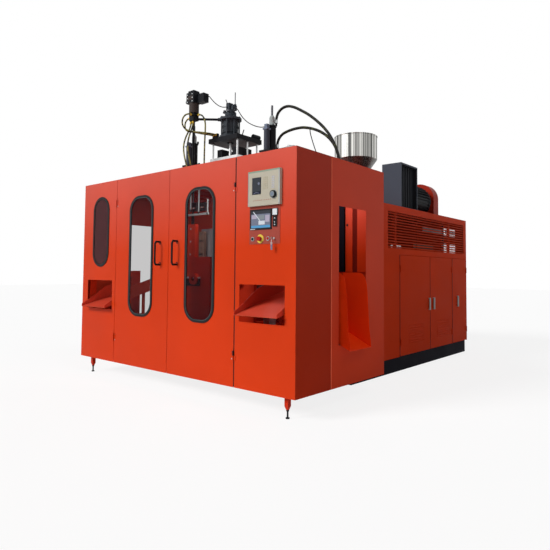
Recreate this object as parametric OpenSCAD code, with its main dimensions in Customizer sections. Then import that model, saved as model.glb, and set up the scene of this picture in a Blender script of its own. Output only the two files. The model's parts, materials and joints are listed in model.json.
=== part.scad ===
// Double-station extrusion blow moulding machine.
// X runs across the front, Y from the front towards the rear, Z up from the floor.
// Sub-parts are drawn from the plane of the front panels and then shifted so that
// the origin lies on the floor in the middle of the whole machine.

/* [Front cabinet] */
// Width over the side panels
cab_w = 3350; // [3100:10:3500]
// Depth from the front panels to the back panel
cab_d = 1490; // [1485:5:1600]
// Height of the lower edge of the panels
cab_bottom = 190; // [175:1:200]
// Height of the upper edge of the panels
cab_top = 2290; // [2280:5:2400]
// Thickness of the panel sheet
sheet = 3; // [2:0.5:4]
// Depth of the folded edges of a panel
fold = 35; // [25:1:38]
// Gap between two neighbouring panels
seam = 6; // [4:0.5:8]
// Distance between the hinge seams of the two front doors
doors_w = 1932; // [1900:2:1960]
// Distance of the seam in the side wall from the front
corner_seam = 518; // [480:1:560]

/* [Windows] */
// Width over the seal of a door window
door_window_w = 435; // [380:1:460]
// Height over the seal of a door window
door_window_h = 1325; // [1200:5:1400]
// Corner radius of a door window
door_window_r = 170; // [120:1:185]
// Distance of a door window from the middle of the machine
door_window_x = 482; // [460:1:500]
// Height of the middle of the door windows
door_window_z = 1400; // [1350:5:1450]
// Width over the seal of the side window
side_window_w = 340; // [300:1:380]
// Height over the seal of the side window
side_window_h = 836; // [760:2:880]
// Distance of the middle of the side window from the left side
side_window_side = 387; // [365:1:405]
// Height of the middle of the side window
side_window_z = 1697; // [1680:1:1720]
// Visible width of a window seal
seal_w = 28; // [24:1:34]
// Thickness of a window pane
pane_t = 5; // [4:0.5:6]

/* [Doors] */
// Height of the lower hinges
hinge_low_z = 475; // [400:5:600]
// Height of the upper hinges
hinge_high_z = 2010; // [1900:5:2100]
// Length of a hinge
hinge_l = 84; // [60:2:110]
// Diameter of a hinge knuckle
knuckle_d = 14; // [12:0.5:15]
// Diameter of a hinge pin
hinge_pin_d = 8; // [6:0.5:9]
// Distance of a door handle from the middle seam
handle_x = 140; // [120:1:170]
// Height of the middle of the door handles
handle_z = 1420; // [1300:5:1500]
// Length of a door handle
handle_l = 260; // [200:5:300]
// How far a door handle stands proud
handle_out = 77; // [60:1:85]
// Diameter of the handle bar
handle_d = 20; // [16:1:24]

/* [Chutes] */
// Distance of the middle of a front chute opening from the side
chute_side = 382; // [375:1:390]
// Width of a front chute opening
chute_open_w = 530; // [500:1:550]
// Lower edge of a front chute opening
chute_open_low = 785; // [760:1:800]
// Upper edge of a front chute opening
chute_open_high = 1120; // [1110:1:1160]
// How far a front chute stands out of the front
chute_out = 85; // [60:1:100]
// Height of the lip of the right front chute
chute_lip_z = 850; // [845:1:880]
// How much lower the left chute lies
left_chute_drop = 44; // [0:1:48]
// Slope of a front chute
chute_slope = 16.1; // [14:0.1:16.5]
// Lower edge of a side opening
side_open_low = 565; // [540:1:580]
// Upper edge of a side opening
side_open_high = 1850; // [1750:5:1900]
// Front edge of a side opening
side_open_front = 642; // [620:1:660]
// Rear edge of a side opening
side_open_rear = 1127; // [1090:1:1150]
// How far a side chute stands out of the side panel
side_chute_out = 96; // [85:1:120]
// Slope of a side chute
side_chute_slope = 26; // [25:0.5:30]

/* [Controls] */
// Width of the parison controller
controller_w = 370; // [340:1:380]
// Height of the parison controller
controller_h = 310; // [280:1:330]
// How far the parison controller stands proud
controller_out = 30; // [24:1:40]
// Distance of the left edge of the controls from the right side
controls_side = 525; // [510:1:545]
// Height between the controller and the operator plate
controls_z = 1808; // [1790:1:1825]
// Width of the operator plate
plate_w = 353; // [335:1:360]
// Height of the operator plate
plate_h = 332; // [328:1:345]
// Thickness of the operator plate
plate_t = 4; // [3:0.5:6]
// Height of the row of push buttons
button_z = 1522; // [1505:1:1530]
// Travel of the two push buttons
button_travel = 4; // [3:0.5:5]
// Travel of the emergency stop
estop_travel = 6; // [4:0.5:7]

/* [Moulds] */
// Distance of a blowing station from the middle of the machine
station_x = 645; // [640:1:665]
// Distance of the mould parting plane from the front
station_y = 875; // [870:1:880]
// Half of the opening between the mould halves
mould_stroke = 75; // [60:1:80]
// Width of a mould
mould_w = 320; // [280:2:360]
// Thickness of a mould half
mould_t = 120; // [110:1:125]
// Lower edge of the moulds
mould_low = 1000; // [960:5:1040]
// Height of a mould
mould_h = 650; // [600:5:680]
// Radius of the bottle cavity
bottle_r = 72; // [50:1:80]
// Radius of the bottle neck
neck_r = 22; // [20:0.5:26]

/* [Head] */
// Height of the upper side of the head platform
platform_top = 2530; // [2515:1:2545]
// Half of the length of the head platform
platform_x = 880; // [850:5:950]
// Upper side of the head stand
stand_top = 2800; // [2780:1:2830]
// Radius of the flanges of the head cylinder
head_flange_r = 130; // [120:1:140]
// Travel of the die mandrel to each side
mandrel_travel = 12; // [6:1:14]
// Radius of a blow pin
pin_r = 12; // [10:0.5:14]
// Travel of a blow pin
pin_travel = 170; // [120:1:175]
// Distance of the valve tower from the middle of the machine
tower_x = 320; // [310:1:330]
// Distance of the valve tower from the front
tower_y = 585; // [575:1:595]

/* [Extruder] */
// Height of the extruder axis
screw_z = 2420; // [2415:1:2425]
// Outer radius of the barrel
barrel_r = 75; // [70:1:80]
// Outer radius of the heater bands
heater_r = 98; // [90:1:102]
// Radius of the barrel bore
bore_r = 50; // [45:1:55]
// Radius of the screw root
root_r = 34; // [28:1:38]
// Pitch of the screw flight
flight_pitch = 100; // [90:1:110]
// Distance of the hopper from the front
hopper_y = 3670; // [3660:1:3680]
// Radius of the hopper
hopper_r = 335; // [300:1:360]
// Upper edge of the hopper
hopper_top = 3388; // [3350:2:3450]
// Lower edge of the round wall of the hopper
hopper_shoulder = 3020; // [2980:5:3100]
// Distance of the motor axis from the right side of the rear unit
motor_side = 380; // [375:1:400]
// Height of the motor axis
motor_z = 2315; // [2312:1:2330]
// Radius over the cooling ribs of the motor
motor_r = 225; // [200:1:226]

/* [Rear unit] */
// Width of the rear cabinet
rear_w = 2510; // [2480:2:2560]
// Distance of the rear end from the front panels
rear_end = 5000; // [4990:5:5050]
// Upper side of the rear cabinet
rear_top = 2090; // [2080:1:2095]
// Upper side of the plinth
plinth_top = 180; // [160:1:190]
// How far the plinth stands back from the sides
plinth_inset = 20; // [10:1:40]
// Height of the seam under the louvre band
band_z = 1470; // [1450:1:1490]
// Width of the first rear door with a seam
rear_door_a = 909; // [890:1:920]
// Width of the second rear door with a seam
rear_door_b = 776; // [760:1:790]
// Distance of the seam behind it from the rear end
end_seam = 622; // [610:1:630]
// Number of louvre blades
blades = 13; // [12:1:16]

/* [Hidden] */
$fn = 48;

// Fits
slide_gap = 0.3;
shaft_gap = 0.05;
seat_gap = 0.2;

// Panels
lap = 5;
corner_lap = 41;
half_w = cab_w / 2;
side_window_r = side_window_w / 2 - 1;
hinge_seam = doors_w / 2;
hinge_off = knuckle_d / 2 + 1;
leaf = 26;
leaf_t = 3;
hinge_zs = [hinge_low_z, hinge_high_z];
rear_hinge_zs = [plinth_top + 180, band_z - 180];

// Whole machine
front_y = chute_out - (rear_end + chute_out) / 2;
roof_top = cab_top - lap + sheet;
rear_x = rear_w / 2;
side_window_x = half_w - side_window_side;
chute_x = half_w - chute_side;
controls_x = half_w - controls_side;
motor_x = rear_x - motor_side;
rear_seam_b = rear_end - end_seam;
rear_seam_a = rear_seam_b - rear_door_b;
rear_doors_y = rear_seam_a - rear_door_a;

// Bed and upper frame
bed_x = half_w - fold - seat_gap;
bed_y = [fold + seat_gap, cab_d - fold - seat_gap];
bed_low = cab_bottom + 5;
bed_top = 500;
bed_wall = 12;
beam_w = 150;
post = 80;
post_x = bed_x - post;
ring_h = 80;
frame_top = cab_top - lap;
cross_w = 85;
leg = 60;
leg_xs = [297, 802];
platform_t = 30;
platform_y = [station_y - 95, station_y + 265];
leg_ys = [platform_y[0] + 20, platform_y[1] - 80];
foot_inset = [143, 84];
rear_foot_x = 1050;

// Carriages
rail = [40, 40];
rail_inset = 115;
base_z = bed_top + 120;
base_t = 40;
carriage_w = 580;
carriage_clear = 70;
carriage_reach = cab_d - carriage_clear - station_y;
rail_reach = station_x + carriage_w / 2 + 25;
rail_ys = [station_y - carriage_reach + rail_inset, station_y + carriage_reach - rail_inset];
beam_ys = [rail_ys[0] - beam_w / 2, rail_ys[1] - beam_w / 2];
feet = [
    [half_w - foot_inset[0], foot_inset[1]],
    [rear_foot_x, beam_ys[1] + 38]
];
end_plate_y = carriage_reach - 90;
end_plate_t = 40;
slide_rail = 30;
slide_xs = [-150, 150];
platen_t = 40;
platen_w = 430;
platen_z = [850, 1720];
clamp_z = 1150;
clamp_rod_r = 25;
clamp_r = 60;
mould_back = mould_stroke + mould_t + platen_t;
clamp_room = carriage_reach - mould_back;
boss_l = clamp_room * 19 / 31;
clamp_rod_l = clamp_room * 23 / 31;
end_plate_top = 1390;
upright_x = [20, 155];
upright_top = 1750;
drive_z = bed_top + 60;
drive_rod_r = 20;
drive_r = 45;
drive_mouth = station_x + 115;
drive_end = half_w - 225;

// Head
die_r = 140;
die_low = 1950;
adapter_r = 57;
barrel_start = 1160;
stand_plate = 32;
pillar_r = 11;
pillar_x = 200;
pillars = [
    [-pillar_x, platform_y[0] + 10], [pillar_x, platform_y[0] + 10], [pillar_x, station_y + 80],
    [-pillar_x, platform_y[1] - 20], [pillar_x, platform_y[1] - 20]
];
mandrel_r = 16;
tip_r = 27;
parison_gap = 3;
cylinder_top = 3010;
tower_dir = atan2(station_y - tower_y, tower_x);
tower_gap = norm([tower_x, station_y - tower_y]);

// Extruder
feed_y = [hopper_y - 125, hopper_y + 125];
feed_top = screw_z + 130;
throat_r = 67;
gear_y = [feed_y[1] + 1, feed_y[1] + 265];
guard_y = [gear_y[1] + 20, gear_y[1] + 190];
guard_r = 235;
guard_z = 2365;
guard_x = 100;
pulley_y = guard_y[0] + 40;
pulley_t = 90;
motor_end = guard_y[0] - 80;
motor_l = 470;
cowl_l = 132;

// Rear unit
rear_y = cab_d + seat_gap;
plinth_y = [cab_d + 70, rear_end - 42];
band = [rear_doors_y - 333, rear_end - 100, band_z + 65, rear_top - 75];
tank_x = [-1050, -150];
tank_y = [cab_d + 210, cab_d + 1410];
tank_top = 900;
grip_z = 811;
grip_seam = [45, 102, 402];
vent_x = [rear_x - 345, rear_x - 65];
vent_y = [hopper_y - 810, hopper_y - 320];
vent_top = rear_top + 610;
door_low = plinth_top + 5;
end_door_y = rear_seam_b + leaf + 1.5 * seam;
end_hinge_y = rear_end - leaf - seam / 2;

// Routes of the hoses and cables, from the plane of the front panels
upper_route = [
    [675, 911, 2865], [675, 911, 2884], [677, 911, 2912], [684, 912, 2942], [698, 912, 2970],
    [718, 913, 2993], [743, 915, 3011], [772, 917, 3023], [802, 919, 3028], [833, 922, 3027],
    [867, 925, 3019], [926, 928, 2995], [1000, 932, 2952], [1080, 935, 2901],
    [1150, 936, 2848], [1220, 936, 2788], [1290, 936, 2720], [1356, 936, 2640],
    [1410, 936, 2553], [1446, 936, 2474], [1467, 936, 2410], [1478, 936, 2364],
    [1480, 936, 2332], [1480, 936, 2310]
];
lower_route = [
    [665, 945, 2600], [665, 945, 2620], [667, 946, 2649], [674, 948, 2679], [688, 951, 2706],
    [708, 954, 2729], [733, 958, 2748], [764, 963, 2761], [802, 968, 2771], [848, 973, 2779],
    [909, 977, 2783], [989, 980, 2779], [1080, 982, 2757], [1160, 984, 2726],
    [1230, 985, 2688], [1296, 985, 2640], [1353, 985, 2582], [1395, 985, 2522],
    [1424, 985, 2464], [1441, 985, 2412], [1449, 985, 2368], [1450, 985, 2334],
    [1450, 985, 2310]
];
tower_routes = [
    [[-375, 575, 3040], [-386, 575, 3040], [-400, 575, 3039], [-418, 575, 3035],
     [-435, 575, 3027], [-450, 575, 3015], [-461, 575, 2999], [-467, 575, 2980],
     [-468, 576, 2960], [-464, 577, 2940], [-455, 578, 2922], [-441, 580, 2907],
     [-423, 582, 2896], [-401, 586, 2888], [-372, 591, 2881], [-335, 599, 2873],
     [-291, 610, 2861], [-249, 626, 2849], [-213, 647, 2841], [-185, 671, 2836],
     [-167, 696, 2833], [-156, 719, 2831], [-151, 741, 2830], [-150, 760, 2830]],
    [[-302, 556, 2986], [-302, 556, 2968], [-302, 555, 2949], [-304, 551, 2924],
     [-308, 544, 2894], [-315, 534, 2857], [-323, 523, 2814], [-329, 514, 2764],
     [-331, 509, 2710], [-327, 508, 2655], [-318, 510, 2600], [-306, 515, 2545],
     [-294, 521, 2490], [-286, 526, 2440], [-281, 529, 2395], [-280, 530, 2360],
     [-280, 530, 2335], [-280, 530, 2310]],
    [[-344, 560, 2986], [-344, 560, 2968], [-344, 559, 2949], [-347, 554, 2923],
     [-353, 545, 2892], [-363, 533, 2854], [-375, 519, 2811], [-384, 507, 2764],
     [-389, 498, 2711], [-386, 494, 2655], [-376, 493, 2600], [-362, 495, 2545],
     [-348, 500, 2490], [-336, 505, 2440], [-328, 509, 2395], [-325, 510, 2360],
     [-325, 510, 2335], [-325, 510, 2310]],
    [[-300, 530, 3060], [-300, 520, 3060], [-300, 507, 3060], [-301, 489, 3058],
     [-304, 471, 3052], [-309, 454, 3042], [-316, 440, 3027], [-324, 431, 3009],
     [-333, 428, 2989], [-342, 430, 2968], [-348, 435, 2947], [-350, 444, 2927],
     [-348, 456, 2908], [-341, 470, 2891], [-329, 486, 2877], [-312, 501, 2866],
     [-290, 517, 2858], [-266, 533, 2853], [-241, 550, 2849], [-213, 568, 2846],
     [-181, 593, 2842], [-153, 623, 2839], [-131, 656, 2837], [-117, 691, 2836],
     [-111, 723, 2835], [-110, 744, 2835], [-110, 760, 2835]],
    [[-265, 600, 3065], [-255, 600, 3065], [-243, 600, 3064], [-224, 601, 3060],
     [-205, 603, 3051], [-189, 606, 3038], [-176, 610, 3021], [-168, 614, 3001],
     [-164, 619, 2978], [-164, 625, 2950], [-168, 630, 2915], [-174, 635, 2872],
     [-181, 639, 2823], [-188, 643, 2770], [-193, 646, 2710], [-198, 649, 2640],
     [-200, 650, 2570], [-200, 650, 2500], [-200, 650, 2430], [-200, 650, 2365],
     [-200, 650, 2335], [-200, 650, 2310]]
];
cable_routes = [
    [[-150, 630, 3270], [-140, 630, 3270], [-129, 631, 3269], [-118, 634, 3264],
     [-107, 640, 3254], [-97, 650, 3237], [-86, 667, 3215], [-74, 690, 3193], [-60, 720, 3172],
     [-44, 753, 3159], [-29, 780, 3156], [-19, 800, 3159], [-12, 816, 3163], [-10, 824, 3164],
     [-10, 830, 3165]],
    [[58, 862, 3150], [68, 862, 3150], [79, 862, 3149], [92, 862, 3145], [106, 861, 3137],
     [122, 860, 3123], [143, 857, 3100], [172, 853, 3063], [210, 848, 3018], [260, 841, 2970],
     [320, 832, 2925], [390, 822, 2884], [460, 812, 2851], [520, 803, 2829], [565, 796, 2817],
     [596, 792, 2813], [613, 790, 2812], [625, 790, 2812]],
    [[1085, 982, 2740], [1085, 982, 2729], [1087, 981, 2717], [1091, 979, 2702],
     [1099, 975, 2681], [1111, 970, 2653], [1127, 963, 2618], [1146, 956, 2577],
     [1167, 950, 2532], [1188, 946, 2487], [1206, 943, 2443], [1219, 941, 2405],
     [1229, 940, 2372], [1234, 940, 2346], [1235, 940, 2328], [1235, 940, 2310]]
];
hose_r = 15;
tower_hose_r = 9;
cable_r = 5;
gland_r = 22;
gland_h = 22;
glands = [
    [1480, 936], [1450, 985], [-280, 530], [-325, 510], [-200, 650], [1235, 940]
];

// Colours
orange = "orangered";
dark = "dimgray";
black = [0.12, 0.12, 0.13];
steel = "silver";
grey = "slategray";

// Shared shapes

// One sub-part in its colour, moved from the front plane to the origin
module placed(paint) {
    color(paint) translate([0, front_y, 0]) children();
}

// The children and their copy on the other side of the machine
module both_sides() {
    children();
    mirror([1, 0, 0]) children();
}

// A box between two opposite corners
module block(a, b) {
    translate(a) cube(b - a);
}

// A round bar along Y, from y to y + l
module bar_y(x, y, z, r, l) {
    translate([x, y, z]) rotate([-90, 0, 0]) cylinder(r = r, h = l);
}

// A round bar along X, from x to x + l
module bar_x(x, y, z, r, l) {
    translate([x, y, z]) rotate([0, 90, 0]) cylinder(r = r, h = l);
}

// An outline in XZ, extruded along Y from y to y + t
module slab_y(y, t) {
    translate([0, y + t, 0]) rotate([90, 0, 0]) linear_extrude(t) children();
}

// An outline in YZ, extruded along X from x to x + t
module slab_x(x, t) {
    translate([x, 0, 0]) rotate([90, 0, 90]) linear_extrude(t) children();
}

// A rounded rectangle around the origin
module round_rect(w, h, r) {
    square([w - 2 * r, h], center = true);
    square([w, h - 2 * r], center = true);
    for (x = [r - w / 2, w / 2 - r], z = [r - h / 2, h / 2 - r]) {
        translate([x, z]) circle(r);
    }
}

// A folded sheet panel from corner a to corner b in XZ, its outer skin at y = 0.
// The folded edges lie the given distances inside the left, right and other edges.
module pan(a, b, lap_l = lap, lap_r = lap, lap_z = lap, depth = fold) {
    c = a + [lap_l, lap_z];
    d = b - [lap_r, lap_z];
    slab_y(0, sheet) translate(a) square(b - a);
    slab_y(sheet, depth - sheet) difference() {
        translate(c) square(d - c);
        translate(c + [sheet, sheet]) square(d - c - [2 * sheet, 2 * sheet]);
    }
}

// The fixed halves of a door's hinges, with their pins, on an axis at the origin
module hinge_pins(zs, dir) {
    for (z = zs) translate([0, -hinge_off, z - hinge_l / 2]) {
        cylinder(d = knuckle_d, h = hinge_l / 2 - slide_gap);
        cylinder(d = hinge_pin_d, h = hinge_l - 2);
        translate([dir > 0 ? 0 : -leaf, hinge_off - leaf_t, 0])
            cube([leaf, leaf_t, hinge_l / 2 - slide_gap]);
    }
}

// The turning halves of a door's hinges, on an axis at the origin
module hinge_tubes(zs, dir) {
    for (z = zs) translate([0, -hinge_off, z + slide_gap]) difference() {
        union() {
            cylinder(d = knuckle_d, h = hinge_l / 2 - slide_gap);
            translate([dir > 0 ? 0 : -leaf, hinge_off - leaf_t, 0])
                cube([leaf, leaf_t, hinge_l / 2 - slide_gap]);
        }
        translate([0, 0, -1]) cylinder(r = hinge_pin_d / 2 + shaft_gap, h = hinge_l);
    }
}

// The opening in a panel for a sealed window
module window_cut(x, z, w, h, r) {
    slab_y(-1, sheet + 2) translate([x, z]) round_rect(w - 24, h - 24, r - 12);
}

// One layer of a window seal, between two insets from its outer edge
module seal_layer(y, t, w, h, r, outer, inner) {
    slab_y(y, t) difference() {
        round_rect(w - 2 * outer, h - 2 * outer, r - outer);
        round_rect(w - 2 * inner, h - 2 * inner, r - inner);
    }
}

// A rubber profile that grips the panel outside and the pane inside
module window_seal(x, z, w, h, r) {
    translate([x, 0, z]) {
        seal_layer(-7, 5, w, h, r, 0, seal_w);
        seal_layer(-2, 2, w, h, r, 0, 20);
        seal_layer(0, sheet, w, h, r, 12 + seat_gap, 20);
        seal_layer(sheet, 5, w, h, r, 2, seal_w);
    }
}

// A window pane in the inner groove of its seal
module window_pane(x, z, w, h, r) {
    inset = 20 + seat_gap;
    translate([x, 0, z]) slab_y(-2, pane_t)
        round_rect(w - 2 * inset, h - 2 * inset, r - inset);
}

// Points of a smooth curve through a list of points
function curve_point(a, b, c, d, t) =
    0.5 * (2 * b + (c - a) * t + (2 * a - 5 * b + 4 * c - d) * t * t
    + (3 * b - a - 3 * c + d) * t * t * t);
function curve(p, n) = [
    for (i = [0 : len(p) - 2], k = [0 : n - 1])
        curve_point(p[max(i - 1, 0)], p[i], p[i + 1], p[min(i + 2, len(p) - 1)], k / n),
    p[len(p) - 1]
];
function along(p, i) = let (d = p[min(i + 1, len(p) - 1)] - p[max(i - 1, 0)]) d / norm(d);
function side_of(d) = let (s = cross(d, [0.31, 0.95, 0.05])) s / norm(s);

// A round tube swept along a curve
module tube(route, r, sides = 8, steps = 1) {
    p = curve(route, steps);
    n = len(p);
    rings = [
        for (i = [0 : n - 1]) let (d = along(p, i), s = side_of(d), u = cross(d, s))
            for (k = [0 : sides - 1]) p[i] + r * (cos(360 * k / sides) * s + sin(360 * k / sides) * u)
    ];
    walls = [
        for (i = [0 : n - 2], k = [0 : sides - 1]) let (m = (k + 1) % sides)
            [i * sides + k, (i + 1) * sides + k, (i + 1) * sides + m, i * sides + m]
    ];
    ends = [
        [for (k = [0 : sides - 1]) k],
        [for (k = [sides - 1 : -1 : 0]) (n - 1) * sides + k]
    ];
    polyhedron(rings, concat(walls, ends), convexity = 10);
}

// Bed and frame

// A channel beam with its open side down
module channel(a, b) {
    difference() {
        block(a, b);
        block(a + [bed_wall, bed_wall, -1], b - [bed_wall, bed_wall, bed_wall]);
    }
}

// A tapered leg under the bed, bored for its levelling screw
module foot_bracket(x, y) {
    w = 40;
    tip = 20;
    bend_z = 105;
    low = 75;
    outline = [
        [-w / 2, bed_low], [-w / 2, bend_z], [-tip / 2, low], [tip / 2, low],
        [w / 2, bend_z], [w / 2, bed_low]
    ];
    translate([x, y, 0]) difference() {
        union() {
            intersection() {
                slab_y(-w / 2, w) polygon(outline);
                slab_x(-w / 2, w) polygon(outline);
            }
            block([-38, -38, bed_low], [38, 38, bed_low + bed_wall]);
        }
        translate([0, 0, low - 1]) cylinder(r = 8 + seat_gap, h = 160);
    }
}

// The welded bed with the rails for the mould carriages and their drive cylinders
module machine_bed() {
    placed(orange) {
        both_sides() {
            channel([bed_x - beam_w, bed_y[0], bed_low], [bed_x, bed_y[1], bed_top]);
            for (f = feet) foot_bracket(f[0], f[1]);
            difference() {
                bar_x(drive_mouth, station_y, drive_z, drive_r, drive_end - drive_mouth + 1);
                bar_x(drive_mouth - 1, station_y, drive_z, drive_rod_r + shaft_gap,
                    drive_end - drive_mouth - 3);
            }
            block([drive_end, station_y - 70, bed_top - 1],
                [drive_end + 20, station_y + 70, drive_z + 80]);
            block([drive_mouth, station_y - 30, bed_top - bed_wall],
                [drive_mouth + 80, station_y + 30, drive_z - drive_r + 6]);
        }
        for (y = beam_ys) {
            channel([-bed_x + beam_w - bed_wall, y, bed_low],
                [bed_x - beam_w + bed_wall, y + beam_w, bed_top]);
        }
        for (y = rail_ys) {
            block([-rail_reach, y - rail[0] / 2, bed_top - 1],
                [rail_reach, y + rail[0] / 2, bed_top + rail[1]]);
        }
        block([-bed_x + beam_w - 1, beam_ys[0] + beam_w - 1, bed_top - bed_wall],
            [bed_x - beam_w + 1, beam_ys[1] + 1, bed_top]);
    }
}

// Posts, top ring, cross members and the raised platform for the head
module upper_frame() {
    placed(orange) difference() {
        union() {
            both_sides() {
                for (y = [bed_y[0], bed_y[1] - post]) {
                    block([post_x, y, bed_top], [bed_x, y + post, frame_top]);
                }
                block([post_x, bed_y[0], frame_top - ring_h], [bed_x, bed_y[1], frame_top]);
                for (x = leg_xs) {
                    block([x - cross_w / 2, bed_y[0] + post - 1, frame_top - ring_h],
                        [x + cross_w / 2, bed_y[1] - post + 1, frame_top]);
                }
                for (x = leg_xs, y = leg_ys) {
                    block([x - leg / 2, y, frame_top - 1], [x + leg / 2, y + leg, platform_top - 1]);
                }
            }
            for (y = [bed_y[0], bed_y[1] - post]) {
                block([-bed_x, y, frame_top - ring_h], [bed_x, y + post, frame_top]);
            }
            block([-platform_x, platform_y[0], platform_top - platform_t],
                [platform_x, platform_y[1], platform_top]);
        }
        for (x = [-station_x, 0, station_x]) {
            translate([x, station_y, platform_top - platform_t - 1]) cylinder(r = 30, h = platform_t + 2);
        }
    }
}

// Four levelling screws with their pads
module levelling_feet() {
    placed(black) both_sides() {
        for (f = feet) translate([f[0], f[1], 0]) {
            cylinder(r = 17, h = 10);
            cylinder(r = 8, h = 200);
            translate([0, 0, 62]) cylinder(r = 13, h = 13, $fn = 6);
        }
    }
}

// Panels

// The opening in a front panel for a chute
module chute_cut() {
    slab_y(-1, sheet + 2) translate([chute_x - chute_open_w / 2, chute_open_low])
        square([chute_open_w, chute_open_high - chute_open_low]);
}

// Left front panel with the side window and a chute opening
module left_front_panel() {
    placed(orange) {
        mirror([1, 0, 0]) difference() {
            union() {
                pan([hinge_seam + seam / 2, cab_bottom], [half_w, cab_top], lap_r = corner_lap);
                translate([hinge_seam, 0, 0]) hinge_pins(hinge_zs, 1);
            }
            chute_cut();
            window_cut(side_window_x, side_window_z, side_window_w, side_window_h, side_window_r);
        }
    }
}

// Right front panel behind the controls, with a chute opening and a hole for the switches
module control_front_panel() {
    placed(orange) difference() {
        union() {
            pan([hinge_seam + seam / 2, cab_bottom], [half_w, cab_top], lap_r = corner_lap);
            translate([hinge_seam, 0, 0]) hinge_pins(hinge_zs, 1);
        }
        chute_cut();
        slab_y(-1, sheet + 2) translate([controls_x + 20, controls_z - plate_h + 20])
            square([plate_w - 40, plate_h - 60]);
    }
}

// A side panel from y0 to y1 on the right side of the front cabinet
module side_pan(y0, y1) {
    translate([half_w, 0, 0]) rotate([0, 0, 90]) pan([y0, cab_bottom], [y1, cab_top]);
}

// The opening in the side wall, where scrap and bottles leave
module side_cut() {
    slab_x(half_w - sheet - 1, sheet + 2) translate([side_open_front, side_open_low])
        square([side_open_rear - side_open_front, side_open_high - side_open_low]);
}

// Fixed panel between the front corner and the seam in the right side
module right_corner_panel() {
    placed(orange) side_pan(sheet + 0.5, corner_seam - seam / 2);
}

// Right side panel with its opening
module right_side_panel() {
    placed(orange) difference() {
        side_pan(corner_seam + seam / 2, cab_d - sheet - 0.5);
        side_cut();
    }
}

// One-piece left side panel with its opening
module left_side_panel() {
    placed(orange) mirror([1, 0, 0]) difference() {
        side_pan(sheet + 0.5, cab_d - sheet - 0.5);
        side_cut();
    }
}

// Roof sheet of the front cabinet with the glands for hoses and cables
module roof_panel() {
    placed(orange) {
        difference() {
            block([sheet + 1 - half_w, sheet + 1, roof_top - sheet],
                [half_w - sheet - 1, cab_d - sheet - 1, roof_top]);
            for (s = [-1, 1], x = leg_xs, y = leg_ys) {
                block([s * x - leg / 2 - 2, y - 2, roof_top - sheet - 1],
                    [s * x + leg / 2 + 2, y + leg + 2, roof_top + 1]);
            }
            for (x = [-station_x, station_x]) {
                translate([x, station_y, roof_top - sheet - 1]) cylinder(r = 40, h = sheet + 2);
            }
            translate([0, station_y, roof_top - sheet - 1]) cylinder(r = die_r + 12, h = sheet + 2);
        }
        for (g = glands) translate([g[0], g[1], roof_top - 1]) {
            cylinder(r = gland_r, h = gland_h + 1);
        }
    }
}

// Back panel of the front cabinet
module back_panel() {
    placed(orange) translate([0, cab_d, 0]) mirror([0, 1, 0])
        pan([-half_w, cab_bottom], [half_w, cab_top - lap - 1], lap_l = corner_lap,
            lap_r = corner_lap);
}

// Doors

// A D-shaped door handle around x = 0
module door_handle() {
    r = handle_d / 2;
    cut = 22;
    reach = handle_l / 2 - r;
    translate([0, 0, handle_z]) {
        for (s = [-1, 1]) {
            bar_y(0, cut - handle_out, s * reach, r, handle_out - cut);
            hull() {
                translate([0, cut - handle_out, s * reach]) sphere(r, $fn = 24);
                translate([0, r - handle_out, s * (reach - cut)]) sphere(r, $fn = 24);
            }
        }
        translate([0, r - handle_out, cut - reach]) cylinder(r = r, h = 2 * (reach - cut));
    }
}

// A front door with its window opening and handle, drawn on the right
module front_door() {
    difference() {
        pan([seam / 2, cab_bottom], [hinge_seam - seam / 2, cab_top], lap_z = lap + 3,
            depth = fold - 2);
        window_cut(door_window_x, door_window_z, door_window_w, door_window_h, door_window_r);
    }
    translate([handle_x, 0, 0]) door_handle();
    translate([hinge_seam, 0, 0]) hinge_tubes(hinge_zs, -1);
}

module left_door() {
    placed(orange) mirror([1, 0, 0]) front_door();
}

module left_door_seal() {
    placed(black) window_seal(-door_window_x, door_window_z, door_window_w, door_window_h, door_window_r);
}

module left_door_pane() {
    placed([0.3, 0.35, 0.38, 0.5])
        window_pane(-door_window_x, door_window_z, door_window_w, door_window_h, door_window_r);
}

module right_door() {
    placed(orange) front_door();
}

module right_door_seal() {
    placed(black) window_seal(door_window_x, door_window_z, door_window_w, door_window_h, door_window_r);
}

module right_door_pane() {
    placed([0.3, 0.35, 0.38, 0.5])
        window_pane(door_window_x, door_window_z, door_window_w, door_window_h, door_window_r);
}

module side_window_seal() {
    placed(black)
        window_seal(-side_window_x, side_window_z, side_window_w, side_window_h, side_window_r);
}

module side_window_pane() {
    placed([0.3, 0.25, 0.28, 0.5])
        window_pane(-side_window_x, side_window_z, side_window_w, side_window_h, side_window_r);
}

// Controls

controller_z = controls_z + 2;
knob_x = controls_x + 302;
knob_z = controller_z + 90;
knob_r = 30;
knob_shaft_r = 4;
screen = [controls_x + 10, controls_z - 205, 252, 179];
button_r = 12;
black_x = controls_x + 42;
estop_x = controls_x + 132;
red_x = controls_x + 222;
key_x = controls_x + 290;
estop_stem_r = 11;
estop_collar = 14;
key_r = 9;

// Controller box with a recessed display and a hole for its knob
module parison_controller() {
    placed("beige") difference() {
        block([controls_x, -controller_out, controller_z],
            [controls_x + controller_w, 0, controller_z + controller_h]);
        block([controls_x + 50, -controller_out - 1, controller_z + 100],
            [controls_x + 157, 4 - controller_out, controller_z + 252]);
        bar_y(knob_x, -controller_out - 1, knob_z, knob_shaft_r + shaft_gap, 16);
    }
}

// Jog knob of the controller
module parison_knob() {
    placed(black) {
        bar_y(knob_x, -controller_out - 20, knob_z, knob_r, 20 - slide_gap);
        bar_y(knob_x, -controller_out - 1, knob_z, knob_shaft_r, 14);
    }
}

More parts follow.
